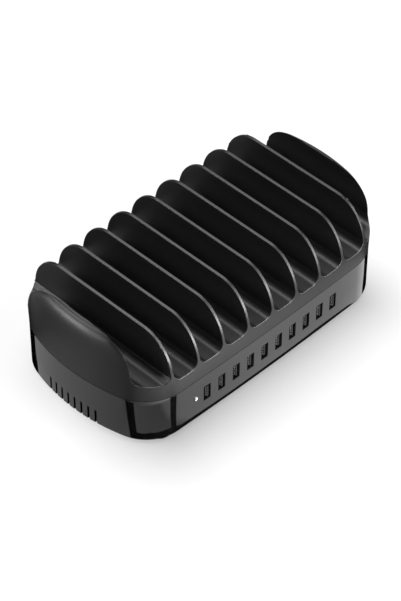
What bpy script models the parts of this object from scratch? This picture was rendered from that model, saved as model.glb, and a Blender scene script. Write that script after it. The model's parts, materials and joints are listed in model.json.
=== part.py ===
"""Ten slot charging station: a moulded divider rack on a gloss case with ten upright charging ports.

Metres, +Z up. The origin is on the surface that the station stands on, under its middle.
+X runs along the row of slots and -Y is the side with the ports.
"""

import math

import bmesh
import bpy
from mathutils import Matrix, Vector

# Dividers and slots
SLOT_COUNT = 10
SLOT_PITCH = 0.025
DIVIDER_WALL = 0.0025
DIVIDER_RISE = 0.03615
DIVIDER_ARCH = 0.0285
DIVIDER_ARCH_POWER = 1.93
DIVIDER_EDGE = 0.0008
SLOT_FILLET = 0.007

# Plan of the body
RIM_HALF_DEPTH = 0.07425
SEAM_SETBACK = 0.00095
CASE_LEAN = 0.0004
END_BULGE = 0.00975
DOME_REACH = 0.0107
DOME_RISE = 0.0342
DOME_POWER = 2.43
BASE_CORNER_RADIUS = 0.035
CORNER_RADIUS = 0.038
TOP_CORNER_RADIUS = 0.0323
CORNER_CHANGE_RISE = 0.0188
CORNER_LIMIT_SHARE = 0.9
END_RADIUS = 0.1625
FRONT_RADIUS = 3.2

# Heights, from the table up
STAND = 0.0035
CASE_HEIGHT = 0.039
SKIRT_HEIGHT = 0.01475
SHOULDER_DROP = 0.0015
CASE_EDGE = 0.0026

# Walls and clearances
CASE_WALL = 0.0022
CASE_FLOOR = 0.0022
COVER_WALL = 0.0022
COVER_FLOOR = 0.0025
POCKET_WALL = 0.002
POCKET_SHARE = 0.5
LIP_WALL = 0.0012
LIP_HEIGHT = 0.0025
GAP = 0.0003
OVERRUN = 0.002
BITE = 0.0005
MERGE = 0.00001

# Ports
PORT_COUNT = 10
PORT_PITCH = 0.01475
PORT_CENTRE = 0.0240
WINDOW_GAP = 0.0006
SHELL_WIDTH = 0.0056
SHELL_HEIGHT = 0.013
SHELL_DEPTH = 0.014
SHELL_WALL = 0.00025
SHELL_RECESS = 0.0004
TONGUE_WALL = 0.00184
TONGUE_HEIGHT = 0.0111
TONGUE_RECESS = 0.0008
TONGUE_OFFSET = 0.00092
TONGUE_BLOCK = 0.003

# Indicator
LIGHT_PLACE = -0.0777
LIGHT_HEIGHT = 0.0249
LIGHT_RADIUS = 0.0014
LIGHT_DOME = 0.0003
LIGHT_LENGTH = 0.007
LED_RADIUS = 0.0015
LED_LENGTH = 0.005

# Ventilation slots of both ends
VENT_COUNT = 8
VENT_PITCH = 0.00678
VENT_WIDTH = 0.0020
VENT_HEIGHT = 0.0133
VENT_UNDER = 0.006

# Feet and case screws
FOOT_RADIUS = 0.0064
FOOT_TAPER = 0.0005
FOOT_EDGE = 0.0008
FOOT_RECESS = 0.0008
FOOT_FROM_END = 0.029
FOOT_FROM_SIDE = 0.0130
SCREW_FROM_END = 0.0215
SCREW_FROM_SIDE = 0.035
SCREW_RADIUS = 0.00145
SCREW_HEAD_RADIUS = 0.0028
SCREW_HEAD_HEIGHT = 0.0018
SCREW_LENGTH = 0.018
SCREW_SINK = 0.0004
BOSS_RADIUS = 0.0035
TOWER_RADIUS = 0.005
TOWER_HEIGHT = 0.0038

# Circuit boards and the posts under them
BOARD_WALL = 0.0016
POST_RADIUS = 0.003
PEG_RADIUS = 0.0013
PEG_RISE = 0.0008
PORT_BOARD_MARGIN = 0.0083
PORT_BOARD_DEPTH = 0.032
PORT_BOARD_SETBACK = 0.0035
PORT_POST_X_SHARES = (-0.9, -0.3, 0.3, 0.9)
PORT_POST_Y_SHARE = 0.8
POWER_BOARD_LENGTH = 0.186
POWER_BOARD_SETBACK = 0.013
BOARD_SPACING = 0.0073
POWER_BOARD_LIFT = 0.005
POWER_POST_X_SHARES = (-0.94, 0.94)
POWER_POST_Y_SHARES = (0.08, 0.92)

# Power parts, placed by shares of the power board
CORE_LENGTH = 0.033
CORE_HEIGHT = 0.027
CORE_DEPTH = 0.012
CORE_LEG = 0.005
CORE_CENTRE_LEG = 0.009
COIL_DEPTH = 0.024
COIL_SHARES = (0.02, 0.56)
PRIMARY_CAPACITOR_RADIUS = 0.008
PRIMARY_CAPACITOR_HEIGHT = 0.025
PRIMARY_CAPACITOR_SHARES = ((0.40, 0.30), (0.60, 0.30))
OUTPUT_CAPACITOR_RADIUS = 0.005
OUTPUT_CAPACITOR_HEIGHT = 0.016
OUTPUT_CAPACITOR_COUNT = 4
OUTPUT_CAPACITOR_PITCH = 0.0135
OUTPUT_CAPACITOR_SHARES = (-0.72, 0.22)
CAN_EDGE = 0.0008
SINK_LENGTH = 0.044
SINK_HEIGHT = 0.026
SINK_WALL = 0.003
SINK_FIN_WALL = 0.0015
SINK_FIN_REACH = 0.009
SINK_FIN_COUNT = 7
SINK_SHARES = ((-0.55, 0.62), (0.46, 0.62))
BRIDGE_SIZE = (0.019, 0.0045, 0.014)
BRIDGE_CORNER = 0.003
BRIDGE_SHARES = (0.86, 0.32)
CHOKE_RADIUS = 0.0085
CHOKE_WINDING = 0.0042
CHOKE_SHARES = (0.86, 0.60)
FILTER_SIZE = (0.018, 0.0085, 0.014)
FILTER_EDGE = 0.001
FILTER_SHARES = (0.10, 0.20)

# Rear bay with the mains inlet and the power switch
BAY_START = 0.022
BAY_LENGTH = 0.062
BAY_BOTTOM = 0.0125
BAY_HEIGHT = 0.025
BAY_DEPTH = 0.003
BAY_CORNER = 0.003
FLANGE_WALL = 0.0016
FLANGE_EDGE = 0.0005
FLANGE_LAP = 0.0015
INLET_SHARE = 0.29
INLET_LENGTH = 0.022
INLET_HEIGHT = 0.0125
INLET_DEPTH = 0.0165
SOCKET_LENGTH = 0.0168
SOCKET_HEIGHT = 0.0088
SOCKET_CORNER_SHARE = 0.499
SOCKET_DEPTH = 0.0125
PIN_RADIUS = 0.0012
PIN_SPACING = 0.0086
PIN_RECESS = 0.002
PIN_TAIL = 0.004
SWITCH_SHARE = 0.77
SWITCH_LENGTH = 0.013
SWITCH_HEIGHT = 0.0196
SWITCH_DEPTH = 0.013
SWITCH_WALL = 0.0012
ROCKER_HALF_HEIGHT = 0.0078
ROCKER_PIVOT_DEPTH = 0.0035
ROCKER_DISH = 0.0028
ROCKER_TIP = 0.0040
ROCKER_ROOT = 0.0030
ROCKER_HUB = 0.0032
ROCKER_ANGLE = math.radians(9.0)
TRUNNION_RADIUS = 0.0011
TERMINAL_SIZE = (0.0048, 0.006, 0.0008)
TERMINAL_SHARES = (-0.55, 0.55)

# Internal leads
LEAD_RADIUS = 0.0009
LEAD_BEND = 0.006
OUTPUT_LEAD_SHARE = -0.5

# Roundness of the modelled curves
ARCH_STEPS = 8
FILLET_STEPS = 5
CORNER_STEPS = 8
END_STEPS = 3
EDGE_STEPS = 3
BEVEL_STEPS = 2
SMALL_SIDES = 12
ROUND_SIDES = 20

# Sizes that follow from the ones above
SLOT_WIDTH = SLOT_PITCH - DIVIDER_WALL
END_FACE = (SLOT_COUNT * SLOT_PITCH - DIVIDER_WALL) / 2
HALF_LENGTH = END_FACE + END_BULGE
SEAM_HALF_DEPTH = RIM_HALF_DEPTH - SEAM_SETBACK
BASE_HALF_DEPTH = SEAM_HALF_DEPTH - CASE_LEAN
BOARD_MARGINS = POWER_BOARD_SETBACK + BOARD_SPACING + PORT_BOARD_SETBACK
POWER_BOARD_DEPTH = 2 * BASE_HALF_DEPTH - PORT_BOARD_DEPTH - BOARD_MARGINS
SEAM_Z = STAND + CASE_HEIGHT
RIM_Z = SEAM_Z + SKIRT_HEIGHT
TOP_Z = RIM_Z + DIVIDER_RISE
FLOOR_Z = STAND + CASE_FLOOR
FOOT_X = HALF_LENGTH - FOOT_FROM_END
FOOT_Y = BASE_HALF_DEPTH - FOOT_FROM_SIDE
SCREW_X = HALF_LENGTH - SCREW_FROM_END
SCREW_Y = BASE_HALF_DEPTH - SCREW_FROM_SIDE
TOWER_TOP = FLOOR_Z + TOWER_HEIGHT
SCREW_SEAT = STAND + SCREW_SINK + SCREW_HEAD_HEIGHT + GAP

# The two sides of a middle plane
SIGNS = (-1, 1)


def clear_scene():
    """Empties the scene of what it starts with."""
    for thing in list(bpy.data.objects):
        bpy.data.objects.remove(thing)


def new_collection(name):
    made = bpy.data.collections.new(name)
    bpy.context.scene.collection.children.link(made)
    return made


def new_material(name, colour, roughness, metallic=0.0, emission=0.0):
    """A plain Principled surface with the colour of the part."""
    made = bpy.data.materials.new(name)
    made.use_nodes = True
    shader = made.node_tree.nodes["Principled BSDF"]
    shader.inputs["Base Color"].default_value = (*colour, 1.0)
    shader.inputs["Roughness"].default_value = roughness
    shader.inputs["Metallic"].default_value = metallic
    if emission:
        shader.inputs["Emission Color"].default_value = (*colour, 1.0)
        shader.inputs["Emission Strength"].default_value = emission
    return made


clear_scene()
PARTS = new_collection("charging_station")
CUTTERS = new_collection("cutters")


def finish_mesh(name, form):
    """Turns a bmesh into a mesh with its faces pointing out."""
    bmesh.ops.recalc_face_normals(form, faces=form.faces)
    mesh = bpy.data.meshes.new(name)
    form.to_mesh(mesh)
    form.free()
    return mesh


def place(name, form, material=None):
    """Makes a part from a bmesh, or a hidden cutter where it has no material."""
    mesh = finish_mesh(name, form)
    thing = bpy.data.objects.new(name, mesh)
    if material is None:
        CUTTERS.objects.link(thing)
        thing.hide_render = True
        thing.display_type = "WIRE"
    else:
        mesh.materials.append(material)
        PARTS.objects.link(thing)
    return thing


def smooth(thing, degrees=35.0):
    """Shades a round piece smooth, with its corners kept sharp."""
    thing.data.shade_smooth()
    thing.data.set_sharp_from_angle(angle=math.radians(degrees))


def add_box(form, low, high):
    """Adds a box between two corners."""
    size = [top - bottom for bottom, top in zip(low, high)]
    middle = [(top + bottom) / 2 for bottom, top in zip(low, high)]
    place_and_size = Matrix.Translation(middle) @ Matrix.Diagonal((*size, 1.0))
    return bmesh.ops.create_cube(form, size=1.0, matrix=place_and_size)["verts"]


def add_rod(form, radius, start, end, sides=SMALL_SIDES, end_radius=None):
    """Adds a cylinder, or a cone where the end has a radius of its own, between two points."""
    start, end = Vector(start), Vector(end)
    turn = (end - start).to_track_quat("Z", "Y").to_matrix().to_4x4()
    middle = Matrix.Translation((start + end) / 2) @ turn
    top = radius if end_radius is None else end_radius
    length = (end - start).length
    return bmesh.ops.create_cone(
        form, cap_ends=True, segments=sides, radius1=radius, radius2=top, depth=length, matrix=middle
    )["verts"]


def add_prism(form, profile, along, start, end):
    """Adds a flat outline drawn out along an axis. The outline's two values fill the other axes in order."""
    bottom = []
    for first, second in profile:
        point = [first, second]
        point.insert(along, start)
        bottom.append(form.verts.new(point))
    face = form.faces.new(bottom)
    drawn = bmesh.ops.extrude_face_region(form, geom=[face])
    reach = [0, 0, 0]
    reach[along] = end - start
    top = [item for item in drawn["geom"] if isinstance(item, bmesh.types.BMVert)]
    bmesh.ops.translate(form, verts=top, vec=reach)


def add_loft(form, rings):
    """Adds a skin over rings of equal counts, closed by a flat face at each end."""
    rows = [[form.verts.new(point) for point in ring] for ring in rings]
    for lower, upper in zip(rows, rows[1:]):
        for index, vert in enumerate(lower):
            after = (index + 1) % len(lower)
            form.faces.new((vert, lower[after], upper[after], upper[index]))
    form.faces.new(rows[0][::-1])
    form.faces.new(rows[-1])


def rounded_rectangle(centre, size, corner, steps=EDGE_STEPS):
    """Points of a rectangle with round corners, anticlockwise."""
    points = []
    half = [value / 2 - corner for value in size]
    for quarter, (side, rise) in enumerate(((1, 1), (-1, 1), (-1, -1), (1, -1))):
        for step in range(steps + 1):
            angle = math.pi / 2 * (quarter + step / steps)
            first = centre[0] + side * half[0] + corner * math.cos(angle)
            second = centre[1] + rise * half[1] + corner * math.sin(angle)
            points.append((first, second))
    return points


def cut(thing, cutter, operation="DIFFERENCE"):
    """Adds an exact Boolean with a cutter."""
    made = thing.modifiers.new(cutter.name, "BOOLEAN")
    made.object = cutter
    made.operation = operation
    made.solver = "EXACT"


def round_edges(thing, width, steps=BEVEL_STEPS, degrees=40.0):
    """Rounds every sharp edge that a piece has so far."""
    made = thing.modifiers.new("rounded_edges", "BEVEL")
    made.width = width
    made.segments = steps
    made.limit_method = "ANGLE"
    made.angle_limit = math.radians(degrees)
    made.use_clamp_overlap = False
    made.harden_normals = False


def corner_radius(z, half_depth):
    """Radius of the plan's corners at a height: widest from seam to rim, less where a level is narrow."""
    share = min(max((z - STAND) / CASE_HEIGHT, 0), 1)
    radius = BASE_CORNER_RADIUS + (CORNER_RADIUS - BASE_CORNER_RADIUS) * share
    share = min(max((z - RIM_Z) / CORNER_CHANGE_RISE, 0), 1)
    radius += (TOP_CORNER_RADIUS - CORNER_RADIUS) * share
    return min(radius, CORNER_LIMIT_SHARE * half_depth)


def fall_off(share, power):
    """How far a rounded top has drawn in at a share of its rise, from 0 at its foot to 1 at its crown."""
    return 1 - (1 - share**power) ** (1 / power)


def plan_quarter(half_length, half_depth, corner, inset):
    """A quarter of the plan, from the slots nearest the middle round the corner to the middle of the end.

    A shallow bow at the front, a round corner and a bow at the end follow on smoothly.
    """
    end_centre = Vector((half_length - END_RADIUS, 0))
    front_centre = Vector((0, half_depth - FRONT_RADIUS))
    end_reach = END_RADIUS - corner
    front_reach = FRONT_RADIUS - corner
    between = front_centre - end_centre
    span = between.length
    along = (end_reach**2 - front_reach**2 + span**2) / (2 * span)
    across = math.sqrt(end_reach**2 - along**2)
    axis = between / span
    corner_centre = end_centre + axis * along + Vector((-axis.y, axis.x)) * across
    corner_in = corner - inset
    front_in = FRONT_RADIUS - inset
    front_angle = math.atan2(corner_centre.y - front_centre.y, corner_centre.x)
    points = []
    for index in range(SLOT_COUNT // 2 - 1):
        x = (index + (SLOT_COUNT + 1) % 2 / 2 + SLOT_COUNT % 2) * SLOT_PITCH
        if x < front_centre.x + front_in * math.cos(front_angle):
            y = front_centre.y + math.sqrt(front_in**2 - x**2)
        else:
            y = corner_centre.y + math.sqrt(corner_in**2 - (x - corner_centre.x) ** 2)
        points.append((x, y))
    start = math.acos(min(max((points[-1][0] - corner_centre.x) / corner_in, 0), 1))
    join = math.atan2(corner_centre.y, corner_centre.x - end_centre.x)
    for step in range(1, CORNER_STEPS + 1):
        angle = start + (join - start) * step / CORNER_STEPS
        turned = Vector((math.cos(angle), math.sin(angle)))
        points.append(tuple(corner_centre + corner_in * turned))
    for step in range(1, END_STEPS + 1):
        angle = join * (1 - step / END_STEPS)
        turned = Vector((math.cos(angle), math.sin(angle)))
        points.append(tuple(end_centre + (END_RADIUS - inset) * turned))
    return points


def plan_ring(half_length, half_depth, z, inset=0.0):
    """The whole plan outline at a height, anticlockwise from the middle of the right end."""
    quarter = plan_quarter(half_length, half_depth, corner_radius(z, half_depth), inset)
    back_right = [(x, y, z) for x, y in reversed(quarter)]
    back_left = [(-x, y, z) for x, y in quarter]
    front_left = [(-x, -y, z) for x, y in reversed(quarter[:-1])]
    front_right = [(x, -y, z) for x, y in quarter[:-1]]
    return back_right + back_left + front_left + front_right


def case_half_depth(z):
    """Half the depth of the case, which leans out a little from the base to the seam."""
    return BASE_HALF_DEPTH + (SEAM_HALF_DEPTH - BASE_HALF_DEPTH) * (z - STAND) / CASE_HEIGHT


def cover_ring(z, inset=0.0, look_up=0.0):
    """Plan outline of the rack cover at a height, or of the height that lies look_up above it."""
    level = z + look_up
    if level < RIM_Z:
        half_depth = SEAM_HALF_DEPTH + (RIM_HALF_DEPTH - SEAM_HALF_DEPTH) * (level - SEAM_Z) / SKIRT_HEIGHT
    else:
        rise = min((level - RIM_Z) / DIVIDER_RISE, 1)
        half_depth = RIM_HALF_DEPTH - DIVIDER_ARCH * fall_off(rise, DIVIDER_ARCH_POWER)
    lift = min(max((level - TOP_Z) / DOME_RISE + 1, 0), 1)
    half_length = HALF_LENGTH - DOME_REACH * fall_off(lift, DOME_POWER)
    return plan_ring(half_length, half_depth, z, inset)


def slot_profile(width, fillet):
    """Outline of one slot from the end: upright walls and a floor with round corners."""
    points = [(width / 2, TOP_Z + OVERRUN), (-width / 2, TOP_Z + OVERRUN)]
    for side, start in ((-1, math.pi), (1, 1.5 * math.pi)):
        for step in range(FILLET_STEPS + 1):
            angle = start + math.pi / 2 * step / FILLET_STEPS
            x = side * (width / 2 - fillet) + fillet * math.cos(angle)
            z = RIM_Z + fillet + fillet * math.sin(angle)
            points.append((x, z))
    return points


def screw_places():
    return [(side * SCREW_X, way * SCREW_Y) for way in SIGNS for side in SIGNS]


def foot_places():
    return [(side * FOOT_X, way * FOOT_Y) for way in SIGNS for side in SIGNS]


def corner_names():
    return ["front_left", "front_right", "rear_left", "rear_right"]


def make_rack_cover(material):
    """The rack: nine thin dividers and two domed ends on a skirt, moulded in one piece and open below."""
    levels = [SEAM_Z - OVERRUN, RIM_Z - SHOULDER_DROP]
    for step in range(ARCH_STEPS + 1):
        share = (step + 1) / (ARCH_STEPS + 1)
        levels.append(RIM_Z + DIVIDER_RISE * math.sin(math.pi / 2 * share))
    form = bmesh.new()
    add_loft(form, [cover_ring(level) for level in levels])
    cover = place("rack_cover", form, material)

    slots = bmesh.new()
    profile = slot_profile(SLOT_WIDTH, SLOT_FILLET)
    reach = RIM_HALF_DEPTH + OVERRUN
    for index in range(SLOT_COUNT):
        middle = (index - (SLOT_COUNT - 1) / 2) * SLOT_PITCH
        shifted = [(x + middle, z) for x, z in profile]
        add_prism(slots, shifted, 1, -reach, reach)
    cut(cover, place("slot_cutter", slots))
    round_edges(cover, DIVIDER_EDGE)

    below = bmesh.new()
    outside = HALF_LENGTH + OVERRUN
    add_box(below, (-outside, -reach, SEAM_Z - 2 * OVERRUN), (outside, reach, SEAM_Z + GAP))
    cut(cover, place("cover_trim", below))

    hollow = bmesh.new()
    roof = TOP_Z - DOME_RISE * POCKET_SHARE
    heights = [SEAM_Z - OVERRUN, RIM_Z - COVER_FLOOR, (RIM_Z - COVER_FLOOR + roof) / 2, roof]
    add_loft(hollow, [cover_ring(height, COVER_WALL, COVER_WALL) for height in heights])
    cavity = place("cover_hollow", hollow)
    kept = bmesh.new()
    keep = END_FACE + POCKET_WALL
    add_box(kept, (-keep, -reach, RIM_Z - COVER_FLOOR), (keep, reach, TOP_Z))
    cut(cavity, place("slot_floor_block", kept))
    cut(cover, cavity)

    posts = bmesh.new()
    holes = bmesh.new()
    boss_foot = TOWER_TOP + GAP
    boss_top = RIM_Z - COVER_FLOOR + BITE
    tip = SCREW_SEAT + SCREW_LENGTH
    for x, y in screw_places():
        add_rod(posts, BOSS_RADIUS, (x, y, boss_foot), (x, y, boss_top))
        add_rod(holes, SCREW_RADIUS + GAP, (x, y, boss_foot - OVERRUN), (x, y, tip + GAP))
    cut(cover, place("cover_bosses", posts), "UNION")
    cut(cover, place("cover_boss_holes", holes))
    smooth(cover)
    return cover


def port_places():
    return [(index - (PORT_COUNT - 1) / 2) * PORT_PITCH for index in range(PORT_COUNT)]


def power_board_point(shares):
    """A place on the power board: a share of its half length, and a share of its depth from the front."""
    back = BASE_HALF_DEPTH - POWER_BOARD_SETBACK
    return (shares[0] * POWER_BOARD_LENGTH / 2, back - POWER_BOARD_DEPTH * (1 - shares[1]))


def port_board_point(shares):
    """A place on the port board: a share of its half length, and a share of its depth from the front."""
    front = -BASE_HALF_DEPTH + PORT_BOARD_SETBACK
    return (shares[0] * port_board_half_length(), front + PORT_BOARD_DEPTH * shares[1])


def port_board_half_length():
    return (PORT_COUNT - 1) * PORT_PITCH / 2 + PORT_BOARD_MARGIN + SHELL_WIDTH


def port_board_top():
    return PORT_CENTRE - SHELL_HEIGHT / 2 - GAP


def power_board_top():
    return FLOOR_Z + POWER_BOARD_LIFT + GAP + BOARD_WALL


def bay_floor():
    """The face of the rear bay that the inlet and the switch sit on."""
    return case_half_depth(BAY_BOTTOM + BAY_HEIGHT / 2) - BAY_DEPTH


def bay_middle():
    return BAY_BOTTOM + BAY_HEIGHT / 2


def inlet_x():
    return BAY_START + BAY_LENGTH * INLET_SHARE


def switch_x():
    return BAY_START + BAY_LENGTH * SWITCH_SHARE


def add_post(form, x, y, board_bottom):
    """Adds a post under a board, with a peg that stands through it."""
    top = board_bottom - GAP
    shoulder = [POST_RADIUS, POST_RADIUS, PEG_RADIUS, PEG_RADIUS]
    heights = [FLOOR_Z - BITE, top, top, board_bottom + BOARD_WALL + PEG_RISE]
    rings = []
    for radius, z in zip(shoulder, heights):
        turns = [2 * math.pi * step / SMALL_SIDES for step in range(SMALL_SIDES)]
        rings.append([(x + radius * math.cos(turn), y + radius * math.sin(turn), z) for turn in turns])
    add_loft(form, rings)


def post_places():
    """Every board post as x, y and the underside of its board."""
    places = []
    for share in PORT_POST_X_SHARES:
        x, y = port_board_point((share, PORT_POST_Y_SHARE))
        places.append((x, y, port_board_top() - BOARD_WALL))
    for x_share in POWER_POST_X_SHARES:
        for y_share in POWER_POST_Y_SHARES:
            x, y = power_board_point((x_share, y_share))
            places.append((x, y, power_board_top() - BOARD_WALL))
    return places


def make_lower_case(material):
    """The gloss case: a tray with an inner lip for the cover, port windows, end vents and a rear bay."""
    rings = []
    for step in range(EDGE_STEPS + 1):
        angle = math.pi / 2 * step / EDGE_STEPS
        inset = CASE_EDGE * (1 - math.sin(angle))
        z = STAND + CASE_EDGE * (1 - math.cos(angle))
        rings.append(plan_ring(HALF_LENGTH, case_half_depth(z), z, inset))
    lip = COVER_WALL + GAP
    rings.append(plan_ring(HALF_LENGTH, SEAM_HALF_DEPTH, SEAM_Z))
    rings.append(plan_ring(HALF_LENGTH, SEAM_HALF_DEPTH, SEAM_Z, lip))
    rings.append(plan_ring(HALF_LENGTH, SEAM_HALF_DEPTH, SEAM_Z + LIP_HEIGHT, lip))
    form = bmesh.new()
    add_loft(form, rings)
    case = place("lower_case", form, material)

    hollow = bmesh.new()
    shelf = SEAM_Z - LIP_HEIGHT
    wall = lip + LIP_WALL
    inner = [
        plan_ring(HALF_LENGTH, BASE_HALF_DEPTH, FLOOR_Z, CASE_WALL),
        plan_ring(HALF_LENGTH, case_half_depth(shelf), shelf, CASE_WALL),
        plan_ring(HALF_LENGTH, SEAM_HALF_DEPTH, SEAM_Z, wall),
        plan_ring(HALF_LENGTH, SEAM_HALF_DEPTH, SEAM_Z + LIP_HEIGHT + OVERRUN, wall),
    ]
    add_loft(hollow, inner)
    cut(case, place("case_hollow", hollow))

    added = bmesh.new()
    for x, y in screw_places():
        add_rod(added, TOWER_RADIUS, (x, y, FLOOR_Z - BITE), (x, y, TOWER_TOP))
    for x, y, underside in post_places():
        add_post(added, x, y, underside)
    inner_wall = SEAM_HALF_DEPTH - CASE_WALL
    pad_low = (BAY_START - CASE_WALL, bay_floor() - CASE_WALL, BAY_BOTTOM - CASE_WALL)
    pad_high = (BAY_START + BAY_LENGTH + CASE_WALL, inner_wall + BITE, BAY_BOTTOM + BAY_HEIGHT + CASE_WALL)
    add_box(added, pad_low, pad_high)
    cut(case, place("case_additions", added), "UNION")

    bay = bmesh.new()
    outside = SEAM_HALF_DEPTH + OVERRUN
    middle = (BAY_START + BAY_LENGTH / 2, bay_middle())
    recess = rounded_rectangle(middle, (BAY_LENGTH, BAY_HEIGHT), BAY_CORNER)
    add_prism(bay, recess, 1, bay_floor(), outside)
    cut(case, place("bay_recess", bay))

    shafts = bmesh.new()
    for x, y in screw_places():
        start = (x, y, SCREW_SEAT - BITE)
        add_rod(shafts, SCREW_RADIUS + GAP, start, (x, y, TOWER_TOP + OVERRUN))
    cut(case, place("case_screw_holes", shafts))

    holes = bmesh.new()
    clear = 2 * GAP
    margin = 2 * WINDOW_GAP
    for x in port_places():
        window = (x, PORT_CENTRE)
        size = (SHELL_WIDTH + margin, SHELL_HEIGHT + margin)
        opening = rounded_rectangle(window, size, WINDOW_GAP, 1)
        add_prism(holes, opening, 1, -SEAM_HALF_DEPTH - OVERRUN, -BASE_HALF_DEPTH + CASE_WALL + OVERRUN)
    light_front = (LIGHT_PLACE, -SEAM_HALF_DEPTH - OVERRUN, LIGHT_HEIGHT)
    light_back = (LIGHT_PLACE, -BASE_HALF_DEPTH + CASE_WALL + OVERRUN, LIGHT_HEIGHT)
    add_rod(holes, LIGHT_RADIUS + GAP, light_front, light_back)
    bay_back = bay_floor() - CASE_WALL - OVERRUN
    bay_front = bay_floor() + BITE
    for x, size in (
        (inlet_x(), (INLET_LENGTH + clear, INLET_HEIGHT + clear)),
        (switch_x(), (SWITCH_LENGTH + clear, SWITCH_HEIGHT + clear)),
    ):
        low = (x - size[0] / 2, bay_back, bay_middle() - size[1] / 2)
        high = (x + size[0] / 2, bay_front, bay_middle() + size[1] / 2)
        add_box(holes, low, high)
    for side in SIGNS:
        for index in range(VENT_COUNT):
            y = (index - (VENT_COUNT - 1) / 2) * VENT_PITCH
            ends = sorted((side * (HALF_LENGTH + OVERRUN), side * (HALF_LENGTH - CASE_WALL - VENT_UNDER)))
            low = (ends[0], y - VENT_WIDTH / 2, STAND - OVERRUN)
            high = (ends[1], y + VENT_WIDTH / 2, STAND + VENT_HEIGHT)
            add_box(holes, low, high)
    for x, y in foot_places():
        top = STAND + FOOT_RECESS
        add_rod(holes, FOOT_RADIUS + GAP, (x, y, STAND - OVERRUN), (x, y, top), ROUND_SIDES)
    for x, y in screw_places():
        add_rod(holes, SCREW_HEAD_RADIUS + GAP, (x, y, STAND - OVERRUN), (x, y, SCREW_SEAT))
    cut(case, place("case_openings", holes))
    smooth(case)
    return case


def make_turned(name, profile, material, sides=ROUND_SIDES):
    """A turned piece from a profile of radius and height, closed on its axis."""
    form = bmesh.new()
    verts = [form.verts.new((radius, 0, z)) for radius, z in profile]
    for first, second in zip(verts, verts[1:]):
        form.edges.new((first, second))
    mesh = bpy.data.meshes.new(name)
    form.to_mesh(mesh)
    form.free()
    mesh.materials.append(material)
    thing = bpy.data.objects.new(name, mesh)
    PARTS.objects.link(thing)
    turned = thing.modifiers.new("turned", "SCREW")
    turned.steps = sides
    turned.render_steps = sides
    turned.use_merge_vertices = True
    turned.merge_threshold = MERGE
    turned.use_smooth_shade = True
    return thing


def make_feet(material):
    """Round rubber feet, set a little way into the case."""
    top = STAND + FOOT_RECESS - GAP
    profile = [
        (0, top),
        (FOOT_RADIUS, top),
        (FOOT_RADIUS, STAND),
        (FOOT_RADIUS - FOOT_TAPER, FOOT_EDGE),
        (FOOT_RADIUS - FOOT_TAPER - FOOT_EDGE, 0),
        (0, 0),
    ]
    for name, (x, y) in zip(corner_names(), foot_places()):
        foot = make_turned("foot_" + name, profile, material)
        foot.location = (x, y, 0)


def make_case_screws(material):
    """Pan head screws that hold the case to the bosses of the rack cover."""
    underside = SCREW_SEAT - GAP
    bottom = underside - SCREW_HEAD_HEIGHT
    edge = SCREW_HEAD_HEIGHT / 2
    tip = SCREW_SEAT + SCREW_LENGTH
    profile = [
        (0, tip),
        (SCREW_RADIUS / 2, tip),
        (SCREW_RADIUS, tip - SCREW_RADIUS),
        (SCREW_RADIUS, underside),
        (SCREW_HEAD_RADIUS, underside),
        (SCREW_HEAD_RADIUS, underside - edge),
        (SCREW_HEAD_RADIUS - edge, bottom),
        (0, bottom),
    ]
    for name, (x, y) in zip(corner_names(), screw_places()):
        screw = make_turned("case_screw_" + name, profile, material, SMALL_SIDES)
        screw.location = (x, y, 0)


def make_board(name, low, high, holes, material):
    """A flat circuit board with a hole for each peg."""
    form = bmesh.new()
    add_box(form, low, high)
    board = place(name, form, material)
    drilled = bmesh.new()
    for x, y in holes:
        start = (x, y, low[2] - OVERRUN)
        add_rod(drilled, PEG_RADIUS + GAP, start, (x, y, high[2] + OVERRUN))
    cut(board, place(name + "_holes", drilled))
    return board


def make_boards(material):
    """The port board behind the front wall and the power board behind it."""
    top = port_board_top()
    low = (*port_board_point((-1, 0)), top - BOARD_WALL)
    high = (*port_board_point((1, 1)), top)
    holes = [port_board_point((share, PORT_POST_Y_SHARE)) for share in PORT_POST_X_SHARES]
    make_board("port_board", low, high, holes, material)
    top = power_board_top()
    low = (*power_board_point((-1, 0)), top - BOARD_WALL)
    high = (*power_board_point((1, 1)), top)
    holes = []
    for x_share in POWER_POST_X_SHARES:
        holes += [power_board_point((x_share, y_share)) for y_share in POWER_POST_Y_SHARES]
    make_board("power_board", low, high, holes, material)


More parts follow.
